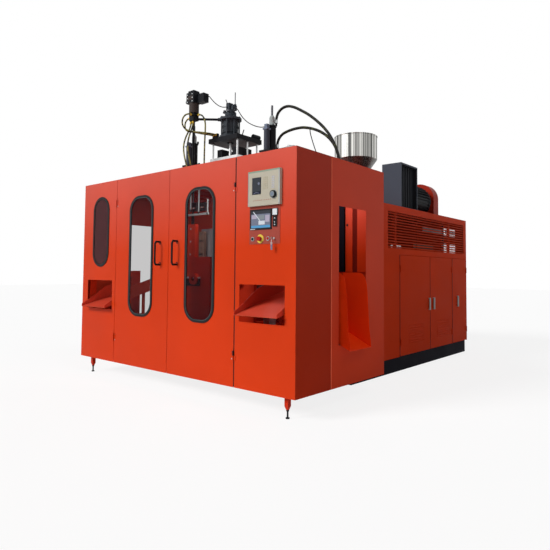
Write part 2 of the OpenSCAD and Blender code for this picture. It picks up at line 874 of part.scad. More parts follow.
// Plate that carries the screen and the switches
module operator_plate() {
    front = -plate_t;
    placed("indianred") difference() {
        union() {
            block([controls_x, front, controls_z - plate_h], [controls_x + plate_w, 0, controls_z]);
            for (x = [black_x, red_x]) bar_y(x, front - 4, button_z, 18, 4);
            bar_y(estop_x, front - 2, button_z, 40, 2);
            bar_y(estop_x, -estop_collar, button_z, 16, estop_collar);
            bar_y(key_x, front - 4, button_z, 14, 4);
            block([controls_x + 275, front - 8, controls_z - 85],
                [controls_x + 330, front, controls_z - 32]);
            block([controls_x + 272, front - 6, controls_z - 188],
                [controls_x + 322, front, controls_z - 98]);
        }
        for (x = [black_x, red_x]) bar_y(x, -30, button_z, button_r + shaft_gap, 40);
        bar_y(estop_x, -30, button_z, estop_stem_r + shaft_gap, 40);
        bar_y(key_x, -30, button_z, key_r + shaft_gap, 40);
    }
}

// Touch screen in its bezel
module touch_screen() {
    placed(black) difference() {
        block([screen[0], -plate_t - 6, screen[1]],
            [screen[0] + screen[2], -plate_t, screen[1] + screen[3]]);
        block([screen[0] + 14, -plate_t - 7, screen[1] + 14],
            [screen[0] + screen[2] - 14, -plate_t - 5, screen[1] + screen[3] - 14]);
    }
}

// Mushroom head and stem of the emergency stop
module emergency_stop() {
    head = 0.5 + estop_collar + estop_travel;
    placed("crimson") {
        bar_y(estop_x, -head - 14, button_z, 20, 14);
        bar_y(estop_x, -head, button_z, estop_stem_r, head + 20);
    }
}

// A push button that stands out of its bezel by a little more than its travel
module push_button(x) {
    bar_y(x, -plate_t - 6 - button_travel, button_z, button_r, 30);
}

module black_button() {
    placed(black) push_button(black_x);
}

module red_button() {
    placed("darkred") push_button(red_x);
}

// Lock barrel with its key
module key_switch() {
    placed(steel) {
        bar_y(key_x, -plate_t - 6, button_z, key_r, 30);
        block([key_x - 1.5, -plate_t - 20, button_z - 4], [key_x + 1.5, -plate_t - 6, button_z + 4]);
        bar_x(key_x - 1.5, -plate_t - 30, button_z, 12, 3);
    }
}

// Chutes

// A point on the upper side of the floor of a front chute with its lip at a height
function chute_floor(y, lip) = lip + (y + chute_out) * tan(chute_slope);

// A folded trough that leads from the blowing station through the front
module front_chute(lip) {
    w = chute_open_w - 30;
    x0 = chute_x - w / 2;
    inner = 620;
    low = chute_floor(inner, lip);
    for (x = [x0, x0 + w - sheet]) slab_x(x, sheet) polygon([
        [-chute_out, lip - sheet], [4 - chute_out, lip + 30], [0, lip + 75], [230, lip + 230],
        [inner, low + 150], [inner, low - sheet]
    ]);
    slab_x(x0, w) polygon([
        [-chute_out, lip - sheet], [-chute_out, lip], [inner, low], [inner, low - sheet]
    ]);
    for (x = [x0 + 60, x0 + w - 66]) slab_x(x, 6) polygon([
        [470, bed_top], [515, bed_top],
        [515, chute_floor(515, lip) - 1], [470, chute_floor(470, lip) - 1]
    ]);
}

module front_chutes() {
    placed(orange) {
        front_chute(chute_lip_z);
        mirror([1, 0, 0]) front_chute(chute_lip_z - left_chute_drop);
    }
}

// A steep trough between two high walls that leads out of the side opening
module side_chute() {
    y0 = side_open_front + 38;
    y1 = side_open_rear - 67;
    lip = half_w + side_chute_out;
    inner = half_w - 225;
    lip_z = side_open_low + 2 - side_chute_out * tan(side_chute_slope);
    rise = (lip - inner) * tan(side_chute_slope);
    top = lip_z + 715;
    for (y = [y0, y1 - sheet]) slab_y(y, sheet) polygon([
        [inner, lip_z + rise], [lip, lip_z], [lip, lip_z + 40],
        [lip - 18, lip_z + 160], [lip - 41, top - 175], [lip - 48, top - 110],
        [lip - 66, top - 50], [lip - 95, top - 12], [lip - 125, top], [inner, top]
    ]);
    slab_y(y0, y1 - y0) polygon([
        [inner, lip_z + rise], [lip, lip_z], [lip, lip_z + sheet],
        [inner, lip_z + rise + sheet]
    ]);
    for (y = [y0, y1 - 6]) slab_y(y, 6) polygon([
        [inner + 20, bed_top], [inner + 80, bed_top],
        [inner + 80, lip_z + rise - 80 * tan(side_chute_slope) + 1],
        [inner + 20, lip_z + rise - 20 * tan(side_chute_slope) + 1]
    ]);
}

module side_chutes() {
    placed(orange) both_sides() side_chute();
}

// Head

// Die body under the platform, with its nozzle and the neck towards the extruder
module die_head() {
    top = platform_top - platform_t;
    placed(dark) difference() {
        union() {
            translate([0, station_y, top - 20]) cylinder(r = 170, h = 20);
            translate([0, station_y, die_low]) cylinder(r = die_r, h = top - 19 - die_low);
            for (z = [die_low + 30, die_low + 165, die_low + 300]) {
                translate([0, station_y, z]) cylinder(r = die_r + 6, h = 90);
            }
            translate([0, station_y, die_low - 60]) rotate_extrude()
                polygon([[0, 0], [45, 0], [75, 61], [0, 61]]);
            bar_y(0, station_y, screw_z, adapter_r, barrel_start - station_y);
        }
        translate([0, station_y, die_low - 61]) cylinder(r = mandrel_r + shaft_gap, h = 700);
        translate([0, station_y, die_low - 61]) cylinder(r = tip_r + parison_gap, h = 50);
        bar_y(0, station_y + 40, screw_z, 28, barrel_start);
    }
}

// Two plates on pillars between the platform and the head cylinder
module head_stand() {
    plate_low = stand_top - 55;
    valve_block = 88;
    valve_back = station_y - sqrt(pow(head_flange_r, 2) - pow(valve_block, 2)) - 4;
    placed(steel) difference() {
        union() {
            block([-225, platform_y[0] - 15, platform_top],
                [225, platform_y[1] + 5, platform_top + stand_plate]);
            block([-235, platform_y[0] - 35, plate_low], [235, platform_y[1] + 25, stand_top]);
            for (p = pillars) translate([p[0], p[1], platform_top]) {
                cylinder(r = pillar_r, h = plate_low - platform_top + 1);
            }
            for (x = [-130, 130]) {
                block([x - 40, station_y - 45, platform_top + stand_plate - 1],
                    [x + 40, station_y + 185, plate_low - 70]);
            }
            bar_y(190, station_y + 185, stand_top + 29, 30, 105);
            block([-172, platform_y[0] - 32, stand_top - 1], [-valve_block, valve_back, stand_top + 50]);
            translate([160, station_y + 25, stand_top - 1]) rotate([0, 25, 0]) cylinder(r = 6, h = 85);
        }
        translate([0, station_y, platform_top - 1]) cylinder(r = 40, h = stand_top - platform_top + 2);
    }
}

// Parison programming cylinder with tie rods, end cap and position sensor
module head_cylinder() {
    placed(dark) translate([0, station_y, 0]) difference() {
        union() {
            translate([0, 0, stand_top]) cylinder(r = head_flange_r, h = 22);
            translate([0, 0, stand_top + 21]) cylinder(r = 92, h = cylinder_top - stand_top - 20);
            translate([0, 0, cylinder_top]) cylinder(r = head_flange_r, h = 25);
            for (a = [0 : 45 : 359]) rotate([0, 0, a + 22.5]) translate([111, 0, stand_top + 21]) {
                cylinder(r = 9, h = cylinder_top - stand_top + 20);
                translate([0, 0, cylinder_top - stand_top + 3]) cylinder(r = 15, h = 12, $fn = 6);
            }
            translate([0, 0, cylinder_top + 24]) cylinder(r = 67, h = 70);
            translate([0, 0, cylinder_top + 93]) cylinder(r = 50, h = 27);
            block([-32, -45, cylinder_top + 119], [18, 25, cylinder_top + 205]);
            block([-5, -20, cylinder_top + 119], [58, 45, cylinder_top + 180]);
            translate([57, 15, cylinder_top + 119]) cylinder(r = 16, h = 70);
            translate([57, 15, cylinder_top + 119]) cylinder(r = 5, h = 212);
            translate([-25, -30, cylinder_top + 200]) rotate([12, -18, 0]) cylinder(r = 5, h = 55);
            rotate([0, 0, 180 + tower_dir]) bar_x(100, 0, cylinder_top + 12, 20, 50);
        }
        translate([0, 0, stand_top - 1]) cylinder(r = mandrel_r + shaft_gap, h = 120);
    }
}

// Mandrel rod that opens and closes the die gap
module die_mandrel() {
    placed(steel) translate([0, station_y, die_low - 62 - mandrel_travel]) {
        cylinder(r = mandrel_r, h = stand_top - die_low + 62 + mandrel_travel + 60);
        cylinder(r = tip_r, h = 30);
    }
}

// Post with the servo valve block, its accumulator and the pipe towards the head
module valve_tower() {
    valve_z = 3203;
    placed(black) translate([-tower_x, tower_y, 0]) {
        translate([0, 0, roof_top]) cylinder(r = 42, h = 10);
        translate([0, 0, roof_top + 9]) cylinder(r = 15, h = 3001 - roof_top - 9);
        block([-40, -40, 3000], [40, 40, 3090]);
        translate([0, 0, 3089]) cylinder(r = 58, h = valve_z - 3088);
        block([-75, -55, valve_z], [55, 55, valve_z + 127]);
        for (x = [-55, -20, 15]) block([x, -45, valve_z + 126], [x + 26, 45, valve_z + 150]);
        block([54, -5, valve_z], [170, 75, valve_z + 102]);
        bar_x(-125, 0, valve_z + 47, 18, 52);
        bar_x(-132, 0, valve_z + 47, 22, 14);
        bar_x(-55, -10, 3040, 12, 16);
        bar_x(39, 15, 3065, 12, 16);
        bar_y(20, -55, 3060, 12, 16);
        for (p = [[18, -29], [-24, -25]]) translate([p[0], p[1], 2986]) cylinder(r = 12, h = 15);
        rotate([0, 0, tower_dir]) bar_x(20, 0, cylinder_top + 12, 14, tower_gap - 150 - 20 - slide_gap);
    }
}

// Blow pin cylinder at the origin of a station, with a slim air cylinder in front
module blow_cylinder(x) {
    placed(black) translate([x, station_y, platform_top]) difference() {
        union() {
            block([-75, -125, 0], [75, 85, 20]);
            translate([0, 0, 19]) cylinder(r = 45, h = 272);
            translate([0, 0, 290]) cylinder(r = 52, h = 15);
            translate([0, 0, 304]) cylinder(r = 30, h = 90);
            translate([0, 0, 393]) rotate_extrude() polygon([[0, 0], [30, 0], [20, 22], [0, 22]]);
            translate([0, -85, 19]) cylinder(r = 32, h = 230);
            block([-32, -117, 244], [32, -53, 262]);
            block([-20, -105, 261], [20, -65, 305]);
            translate([30, 36, 304]) cylinder(r = 12, h = 31);
            bar_y(20, 30, 50, 12, 40);
            translate([20, 70, 38]) cylinder(r = 12, h = 32);
        }
        translate([0, 0, -1]) cylinder(r = pin_r + shaft_gap, h = 450);
    }
}

module left_blow_cylinder() {
    blow_cylinder(-station_x);
}

module right_blow_cylinder() {
    blow_cylinder(station_x);
}

// Blow pin with its nozzle under the platform and its tail above the cylinder
module blow_pin(x) {
    low = mould_low + mould_h + 110;
    placed(steel) translate([x, station_y, low]) {
        cylinder(r = pin_r, h = 3060 - low);
        translate([0, 0, 40]) cylinder(r = 20, h = 130);
    }
}

module left_blow_pin() {
    blow_pin(-station_x);
}

module right_blow_pin() {
    blow_pin(station_x);
}

// Moulds

// Carriage that takes a mould between the die and its blowing station, drawn at the die
module carriage_body() {
    y0 = station_y - carriage_reach;
    y1 = station_y + carriage_reach;
    front_plate = station_y - end_plate_y - end_plate_t;
    block([-carriage_w / 2, y0, base_z], [carriage_w / 2, y1, base_z + base_t]);
    for (y = rail_ys) difference() {
        block([-250, y - 45, bed_top + 2], [250, y + 45, base_z + 1]);
        block([-251, y - rail[0] / 2 - slide_gap, bed_top],
            [251, y + rail[0] / 2 + slide_gap, bed_top + rail[1] + slide_gap]);
    }
    for (x = slide_xs) {
        block([x - slide_rail / 2, y0 + 10, base_z + base_t - 1],
            [x + slide_rail / 2, y1 - 10, base_z + base_t + slide_rail]);
    }
    for (s = [0, 1]) translate([0, station_y, 0]) mirror([0, s, 0]) difference() {
        union() {
            block([-platen_w / 2, end_plate_y, base_z + base_t - 1],
                [platen_w / 2, end_plate_y + end_plate_t, end_plate_top]);
            bar_y(0, carriage_reach - boss_l, clamp_z, clamp_r, boss_l);
        }
        bar_y(0, carriage_reach - boss_l - 1, clamp_z, clamp_rod_r + shaft_gap, boss_l + 2);
    }
    block([-upright_x[1], front_plate, end_plate_top - 1],
        [-upright_x[0], front_plate + end_plate_t, upright_top]);
    block([230, station_y - 40, drive_z - 42], [250, station_y + 40, base_z + 1]);
    bar_x(-drive_mouth - 40, station_y, drive_z, drive_rod_r, drive_mouth + 40 + 231);
}

module left_carriage() {
    placed(orange) carriage_body();
}

// The second carriage rests at its station, with its drive rod drawn in
module right_carriage() {
    placed(orange) translate([station_x, 0, 0]) mirror([1, 0, 0]) carriage_body();
}

// Profile of the cavity of a bottle, from its base up to the neck
module bottle_outline() {
    h = mould_h - 150;
    square([bottle_r, h - 130]);
    polygon([[0, h - 131], [bottle_r, h - 131], [neck_r, h - 60], [0, h - 60]]);
    square([neck_r, h + 60]);
}

// One mould half on its platen behind the parting plane, moved back by its stroke
module mould_half() {
    front = mould_stroke;
    back = mould_back;
    difference() {
        union() {
            block([-mould_w / 2, front, mould_low], [mould_w / 2, front + mould_t, mould_low + mould_h]);
            block([-platen_w / 2, front + mould_t - 1, platen_z[0]], [platen_w / 2, back, platen_z[1]]);
            for (x = slide_xs) {
                block([x - 40, front + mould_t - 60, base_z + base_t + slide_gap],
                    [x + 40, back, platen_z[0] + 1]);
            }
        }
        translate([0, front, mould_low + 95]) rotate_extrude() bottle_outline();
        for (x = slide_xs) {
            block([x - slide_rail / 2 - slide_gap, front, base_z + base_t - 1],
                [x + slide_rail / 2 + slide_gap, back + 1, base_z + base_t + slide_rail + slide_gap]);
        }
    }
    bar_y(0, back - 1, clamp_z, clamp_rod_r, clamp_rod_l);
}

module front_half(x) {
    placed(grey) translate([x, station_y, 0]) mirror([0, 1, 0]) mould_half();
}

module rear_half(x) {
    placed(grey) translate([x, station_y, 0]) mould_half();
}

module left_front_mould() {
    front_half(0);
}

module left_rear_mould() {
    rear_half(0);
}

module right_front_mould() {
    front_half(station_x);
}

module right_rear_mould() {
    rear_half(station_x);
}

// Extruder

// Barrel with heater bands, feed housing and supports
module extruder_barrel() {
    zones = 5;
    zone_l = 400;
    zone_gap = 40;
    zone_start = barrel_start + 90;
    placed(dark) difference() {
        union() {
            bar_y(0, barrel_start, screw_z, barrel_r, feed_y[0] - barrel_start + 1);
            bar_y(0, barrel_start, screw_z, barrel_r + 30, 40);
            for (i = [0 : zones - 1]) {
                bar_y(0, zone_start + i * (zone_l + zone_gap), screw_z, heater_r, zone_l);
            }
            block([-130, feed_y[0], screw_z - 130], [130, feed_y[1], feed_top]);
            block([-100, feed_y[0] + 30, rear_top], [100, feed_y[1] - 30, screw_z - 129]);
            for (i = [2, 4]) translate([0, zone_start + i * (zone_l + zone_gap), 0]) {
                block([-50, 5 - zone_gap, rear_top], [50, -5, screw_z - barrel_r + 10]);
                block([-90, 5 - zone_gap, rear_top], [90, -5, rear_top + 15]);
            }
        }
        bar_y(0, barrel_start - 1, screw_z, bore_r + shaft_gap, feed_y[1] - barrel_start + 2);
        translate([0, hopper_y, screw_z]) cylinder(r = throat_r, h = 200);
    }
}

// Helical flight between two radii, turn after turn along Y
module flight(y0, y1, r0, r1, t) {
    n = 10;
    steps = round(n * (y1 - y0) / flight_pitch);
    pitch = (y1 - y0 - t) / steps;
    pts = [
        for (i = [0 : steps]) let (a = 360 * i / n, y = y0 + i * pitch)
            for (q = [[r0, 0], [r1, 0], [r1, t], [r0, t]])
                [q[0] * cos(a), y + q[1], screw_z + q[0] * sin(a)]
    ];
    walls = [
        for (i = [0 : steps - 1], k = [0 : 3]) let (m = (k + 1) % 4)
            [i * 4 + k, (i + 1) * 4 + k, (i + 1) * 4 + m, i * 4 + m]
    ];
    ends = [[0, 1, 2, 3], [for (k = [3 : -1 : 0]) steps * 4 + k]];
    polyhedron(pts, concat(walls, ends), convexity = 40);
}

// Extruder screw with its tip, flight and shank
module extruder_screw() {
    tip = barrel_start + 30;
    placed(steel) {
        translate([0, tip, screw_z]) rotate([-90, 0, 0]) rotate_extrude()
            polygon([[0, 0], [root_r, 60], [root_r, feed_y[1] - 75 - tip], [0, feed_y[1] - 75 - tip]]);
        bar_y(0, feed_y[1] - 76, screw_z, bore_r, 70);
        bar_y(0, feed_y[1] - 10, screw_z, 30, 65);
        flight(tip + 70, feed_y[1] - 80, root_r - 4, bore_r - 0.5, 10);
    }
}

// Stainless hopper with a rolled rim, on the feed housing
module hopper() {
    s = 3;
    neck = 70;
    slope = (hopper_r - neck) / 0.71;
    cone_low = hopper_shoulder - slope;
    placed(steel) translate([0, hopper_y, 0]) {
        rotate_extrude($fn = 72) {
            polygon([
                [neck - s, feed_top], [neck + 30, feed_top], [neck + 30, feed_top + 10],
                [neck, feed_top + 10], [neck, cone_low], [hopper_r, hopper_shoulder],
                [hopper_r, hopper_top - 8], [hopper_r - s, hopper_top - 8],
                [hopper_r - s, hopper_shoulder + 1], [neck - s, cone_low + 1]
            ]);
            translate([hopper_r, hopper_top - 8]) circle(8, $fn = 24);
        }
    }
}

// Reduction gearbox behind the feed housing
module gearbox() {
    low = rear_top + 30;
    y0 = gear_y[0];
    y1 = gear_y[1];
    placed("darkslategray") difference() {
        union() {
            block([-220, y0, low], [220, y1, 2700]);
            for (x = [-250, 250]) block([x - 40, y0 + 10, rear_top], [x + 40, y1 - 10, low + 40]);
            block([-190, y0 + 20, 2699], [190, y1 - 20, 2715]);
            bar_y(0, y1 - 1, screw_z + 60, 90, 12);
            bar_y(guard_x, y1 - 1, motor_z, 22, 120);
            bar_y(guard_x, pulley_y, motor_z, 120, pulley_t);
        }
        bar_y(0, y0 - 1, screw_z, 30 + shaft_gap, 61);
        for (x = [-120, 120]) translate([x, (y0 + y1) / 2, 2690]) cylinder(r = 12, h = 40);
    }
}

// Cross-section of the ribbed motor frame
module motor_ribs() {
    circle(motor_r - 28);
    for (a = [0 : 12 : 359]) rotate(a) translate([0, -3]) square([motor_r, 6]);
}

// Electric motor with ribs, fan cowl, feet, terminal box and pulley
module main_motor() {
    placed(black) {
        translate([motor_x, 0, motor_z]) {
            translate([0, motor_end, 0]) rotate([90, 0, 0]) linear_extrude(motor_l) motor_ribs();
            bar_y(0, motor_end - motor_l - cowl_l + 2, 0, motor_r - 4, cowl_l);
            bar_y(0, motor_end - 1, 0, motor_r - 20, 50);
            bar_y(0, motor_end + 48, 0, 22, pulley_y + pulley_t - motor_end - 48);
            bar_y(0, pulley_y, 0, 85, pulley_t);
            block([-100, motor_end - 360, motor_r - 40], [60, motor_end - 160, motor_r + 60]);
        }
        for (y = [motor_end - 440, motor_end - 120]) {
            block([motor_x - 165, y, rear_top], [motor_x + 165, y + 80, motor_z - motor_r + 60]);
        }
    }
}

// Outline of the belt guard, grown or shrunk by a distance
module guard_outline(d) {
    r = guard_r + d;
    intersection() {
        union() {
            for (x = [guard_x, motor_x]) translate([x, guard_z]) {
                circle(r);
                translate([-r, -400]) square([2 * r, 400]);
            }
            translate([guard_x, guard_z - 400]) square([motor_x - guard_x, 400 + r]);
        }
        translate([guard_x - 400, rear_top]) square([motor_x - guard_x + 800, 700]);
    }
}

// Sheet guard over the drive belts, open towards the roof
module belt_guard() {
    placed(orange) difference() {
        slab_y(guard_y[0], guard_y[1] - guard_y[0]) guard_outline(0);
        translate([0, 0, -1]) slab_y(guard_y[0] + sheet, guard_y[1] - guard_y[0] - 2 * sheet)
            guard_outline(-sheet);
        for (x = [guard_x, motor_x]) bar_y(x, guard_y[0] - 1, motor_z, 30, 10);
    }
}

// Ventilation box with a deep framed recess on its outer side
module ventilation_box() {
    low = [vent_x[0], vent_y[0], rear_top];
    high = [vent_x[1], vent_y[1], vent_top];
    recess = 60;
    rim = 22;
    bar_t = 12;
    placed(grey) {
        difference() {
            block(low, high);
            block(low + [sheet, sheet, -1], high - [recess + sheet, sheet, sheet]);
            block([high[0] - recess, low[1] + rim, rear_top + rim], high - [-1, rim, rim]);
        }
        for (i = [1 : 5]) {
            translate([high[0] - recess - 1, low[1] + rim - 1 + 70 * i, rear_top + rim - 1])
                cube([bar_t + 1, bar_t, vent_top - rear_top - 2 * rim + 2]);
        }
    }
}

// Rear unit

// Plinth frame of the rear unit with the oil tank and the pump motor on it
module rear_base() {
    x = rear_x - plinth_inset;
    placed(black) {
        difference() {
            block([-x, plinth_y[0], 0], [x, plinth_y[1], plinth_top]);
            block([8 - x, plinth_y[0] + 8, -1], [x - 8, plinth_y[1] - 8, plinth_top - 8]);
        }
        difference() {
            block([tank_x[0], tank_y[0], plinth_top - 1], [tank_x[1], tank_y[1], tank_top]);
            block([tank_x[0] + 6, tank_y[0] + 6, plinth_top + 6],
                [tank_x[1] - 6, tank_y[1] - 6, tank_top - 6]);
            translate([tank_x[0] + 150, tank_y[1] - 200, tank_top - 10]) cylinder(r = 45, h = 20);
        }
        translate([tank_x[1] - 350, tank_y[0] + 100, tank_top]) {
            bar_y(0, 0, 180, 150, 520);
            bar_y(0, 519, 180, 60, 260);
            block([-120, 60, -1], [120, 440, 60]);
        }
    }
}

// The seam between the fixed strip and the louvre band is a narrow groove
module band_groove() {
    slab_x(rear_x - sheet / 2, sheet) translate([rear_y, band_z - 2])
        square([rear_doors_y - rear_y, 3]);
}

// Fixed hinge halves on the right side of the rear unit
module rear_hinge(y, dir) {
    translate([rear_x, y, 0]) rotate([0, 0, 90]) hinge_pins(rear_hinge_zs, dir);
}

// Shell of the rear unit, open behind its doors and its louvre panel
module rear_cabinet() {
    y0 = rear_y;
    x = rear_x;
    inner = x - 45;
    placed(orange) {
        difference() {
            union() {
                block([-x, y0, rear_top - sheet], [x, rear_end, rear_top]);
                block([-x, y0, plinth_top], [sheet - x, rear_end, rear_top]);
                block([-x, rear_end - sheet, plinth_top], [x, rear_end, rear_top]);
                block([-x, y0, plinth_top], [x, y0 + sheet, rear_top]);
                block([x - sheet, y0, plinth_top], [x, rear_doors_y - seam / 2, band_z]);
                block([x - sheet, y0, band_z - 1], [x, rear_end, rear_top]);
                for (y = [rear_seam_b + seam / 2, end_hinge_y + seam / 2]) {
                    block([x - sheet, y, plinth_top], [x, y + leaf, band_z]);
                    block([inner - 1, y + 8, plinth_top], [x - 1, y + 16, band_z]);
                }
                for (y = [y0, rear_doors_y - 55, rear_seam_b + 3, rear_end - 51]) {
                    block([inner - 50, y, plinth_top], [inner, y + 50, rear_top - 1]);
                }
                for (y = [y0, rear_end - 51]) {
                    block([sheet - x - 1, y, plinth_top], [50 - x, y + 50, rear_top - 1]);
                }
                block([inner - 50, y0, band_z + 10], [x - 1, rear_end - 1, band_z + 50]);
            }
            slab_x(x - sheet - 1, sheet + 2) translate([band[0], band[2]])
                square([band[1] - band[0], band[3] - band[2]]);
            band_groove();
        }
        rear_hinge(rear_doors_y, -1);
        rear_hinge(rear_seam_b, 1);
        rear_hinge(end_hinge_y, 1);
    }
}

// Louvre panel of sloping blades in a frame
module louvre_panel() {
    y0 = band[0] + slide_gap;
    y1 = band[1] - slide_gap;
    z0 = band[2] + slide_gap;
    z1 = band[3] - slide_gap;
    edge = 12;
    pitch = (z1 - z0 - 2 * edge) / blades;
    placed(orange) {
        slab_x(rear_x - sheet, sheet) difference() {
            translate([y0, z0]) square([y1 - y0, z1 - z0]);
            translate([y0 + edge, z0 + edge]) square([y1 - y0 - 2 * edge, z1 - z0 - 2 * edge]);
        }
        for (i = [0 : blades - 1]) translate([0, 0, z0 + edge + (i + 0.5) * pitch])
            slab_y(y0 + edge - 1, y1 - y0 - 2 * edge + 2)
                polygon([[rear_x, -10], [rear_x, -5], [rear_x - 14, 10], [rear_x - 14, 5]]);
        for (y = [for (i = [0 : 3]) y0 + edge + i * (y1 - y0 - 2 * edge - 6) / 3]) {
            block([rear_x - 17, y, z0 + edge - 1], [rear_x - 12, y + 6, z1 - edge + 1]);
            block([rear_x - 17, y, z0 + 4], [rear_x - 1, y + 6, z0 + edge + 1]);
            block([rear_x - 17, y, z1 - edge - 1], [rear_x - 1, y + 6, z1 - 4]);
        }
    }
}

// A rear door from y0 to y1, hinged at its front or rear edge, with a handle and louvres
module rear_door(y0, y1, hinge_y, dir, grip_y, louvre_w) {
    grip = [36, 165, 24];
    post_z = grip[1] / 2 - 12;
    translate([rear_x, 0, 0]) rotate([0, 0, 90]) {
        pan([y0, door_low], [y1, band_z - seam], depth = 30);
        translate([hinge_y, 0, 0]) hinge_tubes(rear_hinge_zs, dir);
        translate([grip_y, 0, grip_z]) {
            for (z = [-post_z, post_z]) {
                block([-grip[0] / 2, -grip[2], z - 12], [grip[0] / 2, 1, z + 12]);
            }
            block([-grip[0] / 2, -grip[2], -grip[1] / 2], [grip[0] / 2, 10 - grip[2], grip[1] / 2]);
        }
        if (louvre_w > 0) {
            for (i = [0 : 7]) {
                translate([0, 0, 330 + 32 * i]) slab_x(y0 + 240, louvre_w)
                    polygon([[1, 0], [-7, 0], [1, 14]]);
            }
        }
    }
}

module rear_left_door() {
    placed(orange) rear_door(rear_doors_y + seam / 2, rear_seam_a - seam / 2, rear_doors_y, 1,
        rear_seam_a - grip_seam[0], 460);
}

module rear_right_door() {
    placed(orange) rear_door(rear_seam_a + seam / 2, rear_seam_b - seam / 2, rear_seam_b, -1,
        rear_seam_a + grip_seam[1], 460);
}

module rear_end_door() {
    placed(orange) rear_door(end_door_y, end_hinge_y - seam / 2, end_hinge_y, -1,
        rear_end - grip_seam[2], 0);
}

// Hoses and cables

module upper_hose() {
    placed(black) tube(upper_route, hose_r, 10, 2);
}

module lower_hose() {
    placed(black) tube(lower_route, hose_r, 10, 2);
}

module tower_hoses() {
    placed(black) for (route = tower_routes) tube(route, tower_hose_r, 8, 2);
}

module thin_cables() {
    placed(black) for (route = cable_routes) tube(route, cable_r, 8, 2);
}

machine_bed();
upper_frame();
levelling_feet();
left_front_panel();
control_front_panel();
right_corner_panel();
right_side_panel();
left_side_panel();
roof_panel();
back_panel();
left_door();
left_door_seal();
left_door_pane();
right_door();
right_door_seal();
right_door_pane();
side_window_seal();
side_window_pane();
parison_controller();
parison_knob();
operator_plate();
touch_screen();
emergency_stop();
black_button();
red_button();
key_switch();
front_chutes();
side_chutes();
die_head();
head_stand();
head_cylinder();
die_mandrel();
valve_tower();
left_blow_cylinder();
right_blow_cylinder();
left_blow_pin();
right_blow_pin();
left_carriage();
left_front_mould();
left_rear_mould();
right_carriage();
right_front_mould();
right_rear_mould();
extruder_barrel();
extruder_screw();
hopper();
gearbox();
main_motor();
belt_guard();
ventilation_box();
rear_base();
rear_cabinet();
louvre_panel();
rear_left_door();
rear_right_door();
rear_end_door();
upper_hose();
lower_hose();
tower_hoses();
thin_cables();
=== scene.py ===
"""Looks of a double-station extrusion blow moulding machine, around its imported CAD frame."""

import json
import math

import bmesh
import bpy
from mathutils import Matrix, Vector


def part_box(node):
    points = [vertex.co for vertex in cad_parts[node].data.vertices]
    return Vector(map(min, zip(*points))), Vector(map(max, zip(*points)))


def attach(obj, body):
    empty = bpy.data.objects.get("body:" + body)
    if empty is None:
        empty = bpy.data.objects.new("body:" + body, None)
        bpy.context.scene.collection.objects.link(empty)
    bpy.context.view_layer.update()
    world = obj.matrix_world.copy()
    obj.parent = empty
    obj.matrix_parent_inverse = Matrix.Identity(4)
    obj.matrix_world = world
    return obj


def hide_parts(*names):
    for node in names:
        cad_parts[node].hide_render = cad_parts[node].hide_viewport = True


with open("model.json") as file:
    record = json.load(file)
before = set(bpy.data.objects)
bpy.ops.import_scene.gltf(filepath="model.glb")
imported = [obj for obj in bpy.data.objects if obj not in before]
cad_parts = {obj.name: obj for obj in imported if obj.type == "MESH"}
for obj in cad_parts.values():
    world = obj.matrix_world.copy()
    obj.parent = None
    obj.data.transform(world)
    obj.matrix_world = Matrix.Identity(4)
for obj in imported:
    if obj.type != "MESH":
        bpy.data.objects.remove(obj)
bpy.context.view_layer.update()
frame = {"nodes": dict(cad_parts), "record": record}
NODE = frame["nodes"]

# Places are given from the plane of the front panels, in millimetres, as in the CAD source
CHUTE_OUT = 85
FRONT_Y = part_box("front_chutes")[0].y + CHUTE_OUT / 1000


def at(x, y, z):
    """A point given in millimetres from the front plane, in the row frame in metres."""
    return Vector((x / 1000, FRONT_Y + y / 1000, z / 1000))


# Camera

FOCAL_PX = 516.73
FRAME_PX = 550
SENSOR = 36.0
CENTRE_PX = (274.81, 246.48)
CAMERA_PLACE = (4301.4, -3362.7, 1230.4)
CAMERA_AZIMUTH = 40.348
CAMERA_PITCH = 2.8633
CAMERA_ROLL = 0.5128
SEEN_TO = 200


def make_camera():
    """The camera that was fitted to the photo, with its middle shifted as in the photo."""
    data = bpy.data.cameras.new("camera")
    data.sensor_width = SENSOR
    data.lens = SENSOR * FOCAL_PX / FRAME_PX
    data.shift_x = (FRAME_PX / 2 - CENTRE_PX[0]) / FRAME_PX
    data.shift_y = (CENTRE_PX[1] - FRAME_PX / 2) / FRAME_PX
    data.clip_end = SEEN_TO
    cam = bpy.data.objects.new("camera", data)
    bpy.context.scene.collection.objects.link(cam)
    turn = Matrix.Rotation(math.radians(CAMERA_AZIMUTH), 4, "Z")
    tilt = Matrix.Rotation(math.radians(90 + CAMERA_PITCH), 4, "X")
    roll = Matrix.Rotation(math.radians(CAMERA_ROLL), 4, "Z")
    cam.matrix_world = Matrix.Translation(at(*CAMERA_PLACE)) @ turn @ tilt @ roll
    bpy.context.scene.camera = cam


make_camera()
bpy.context.scene.view_settings.view_transform = "Standard"


# Materials

def new_material(name):
    """A new material with its node tree and its shader."""
    mat = bpy.data.materials.new(name)
    mat.use_nodes = True
    tree = mat.node_tree
    tree.nodes.clear()
    out = tree.nodes.new("ShaderNodeOutputMaterial")
    shader = tree.nodes.new("ShaderNodeBsdfPrincipled")
    tree.links.new(shader.outputs[0], out.inputs[0])
    return mat, tree, shader


def object_coords(tree, stretch=(1, 1, 1)):
    """Object coordinates, stretched along each axis."""
    coords = tree.nodes.new("ShaderNodeTexCoord")
    mapping = tree.nodes.new("ShaderNodeMapping")
    mapping.inputs["Scale"].default_value = stretch
    tree.links.new(coords.outputs["Object"], mapping.inputs[0])
    return mapping.outputs[0]


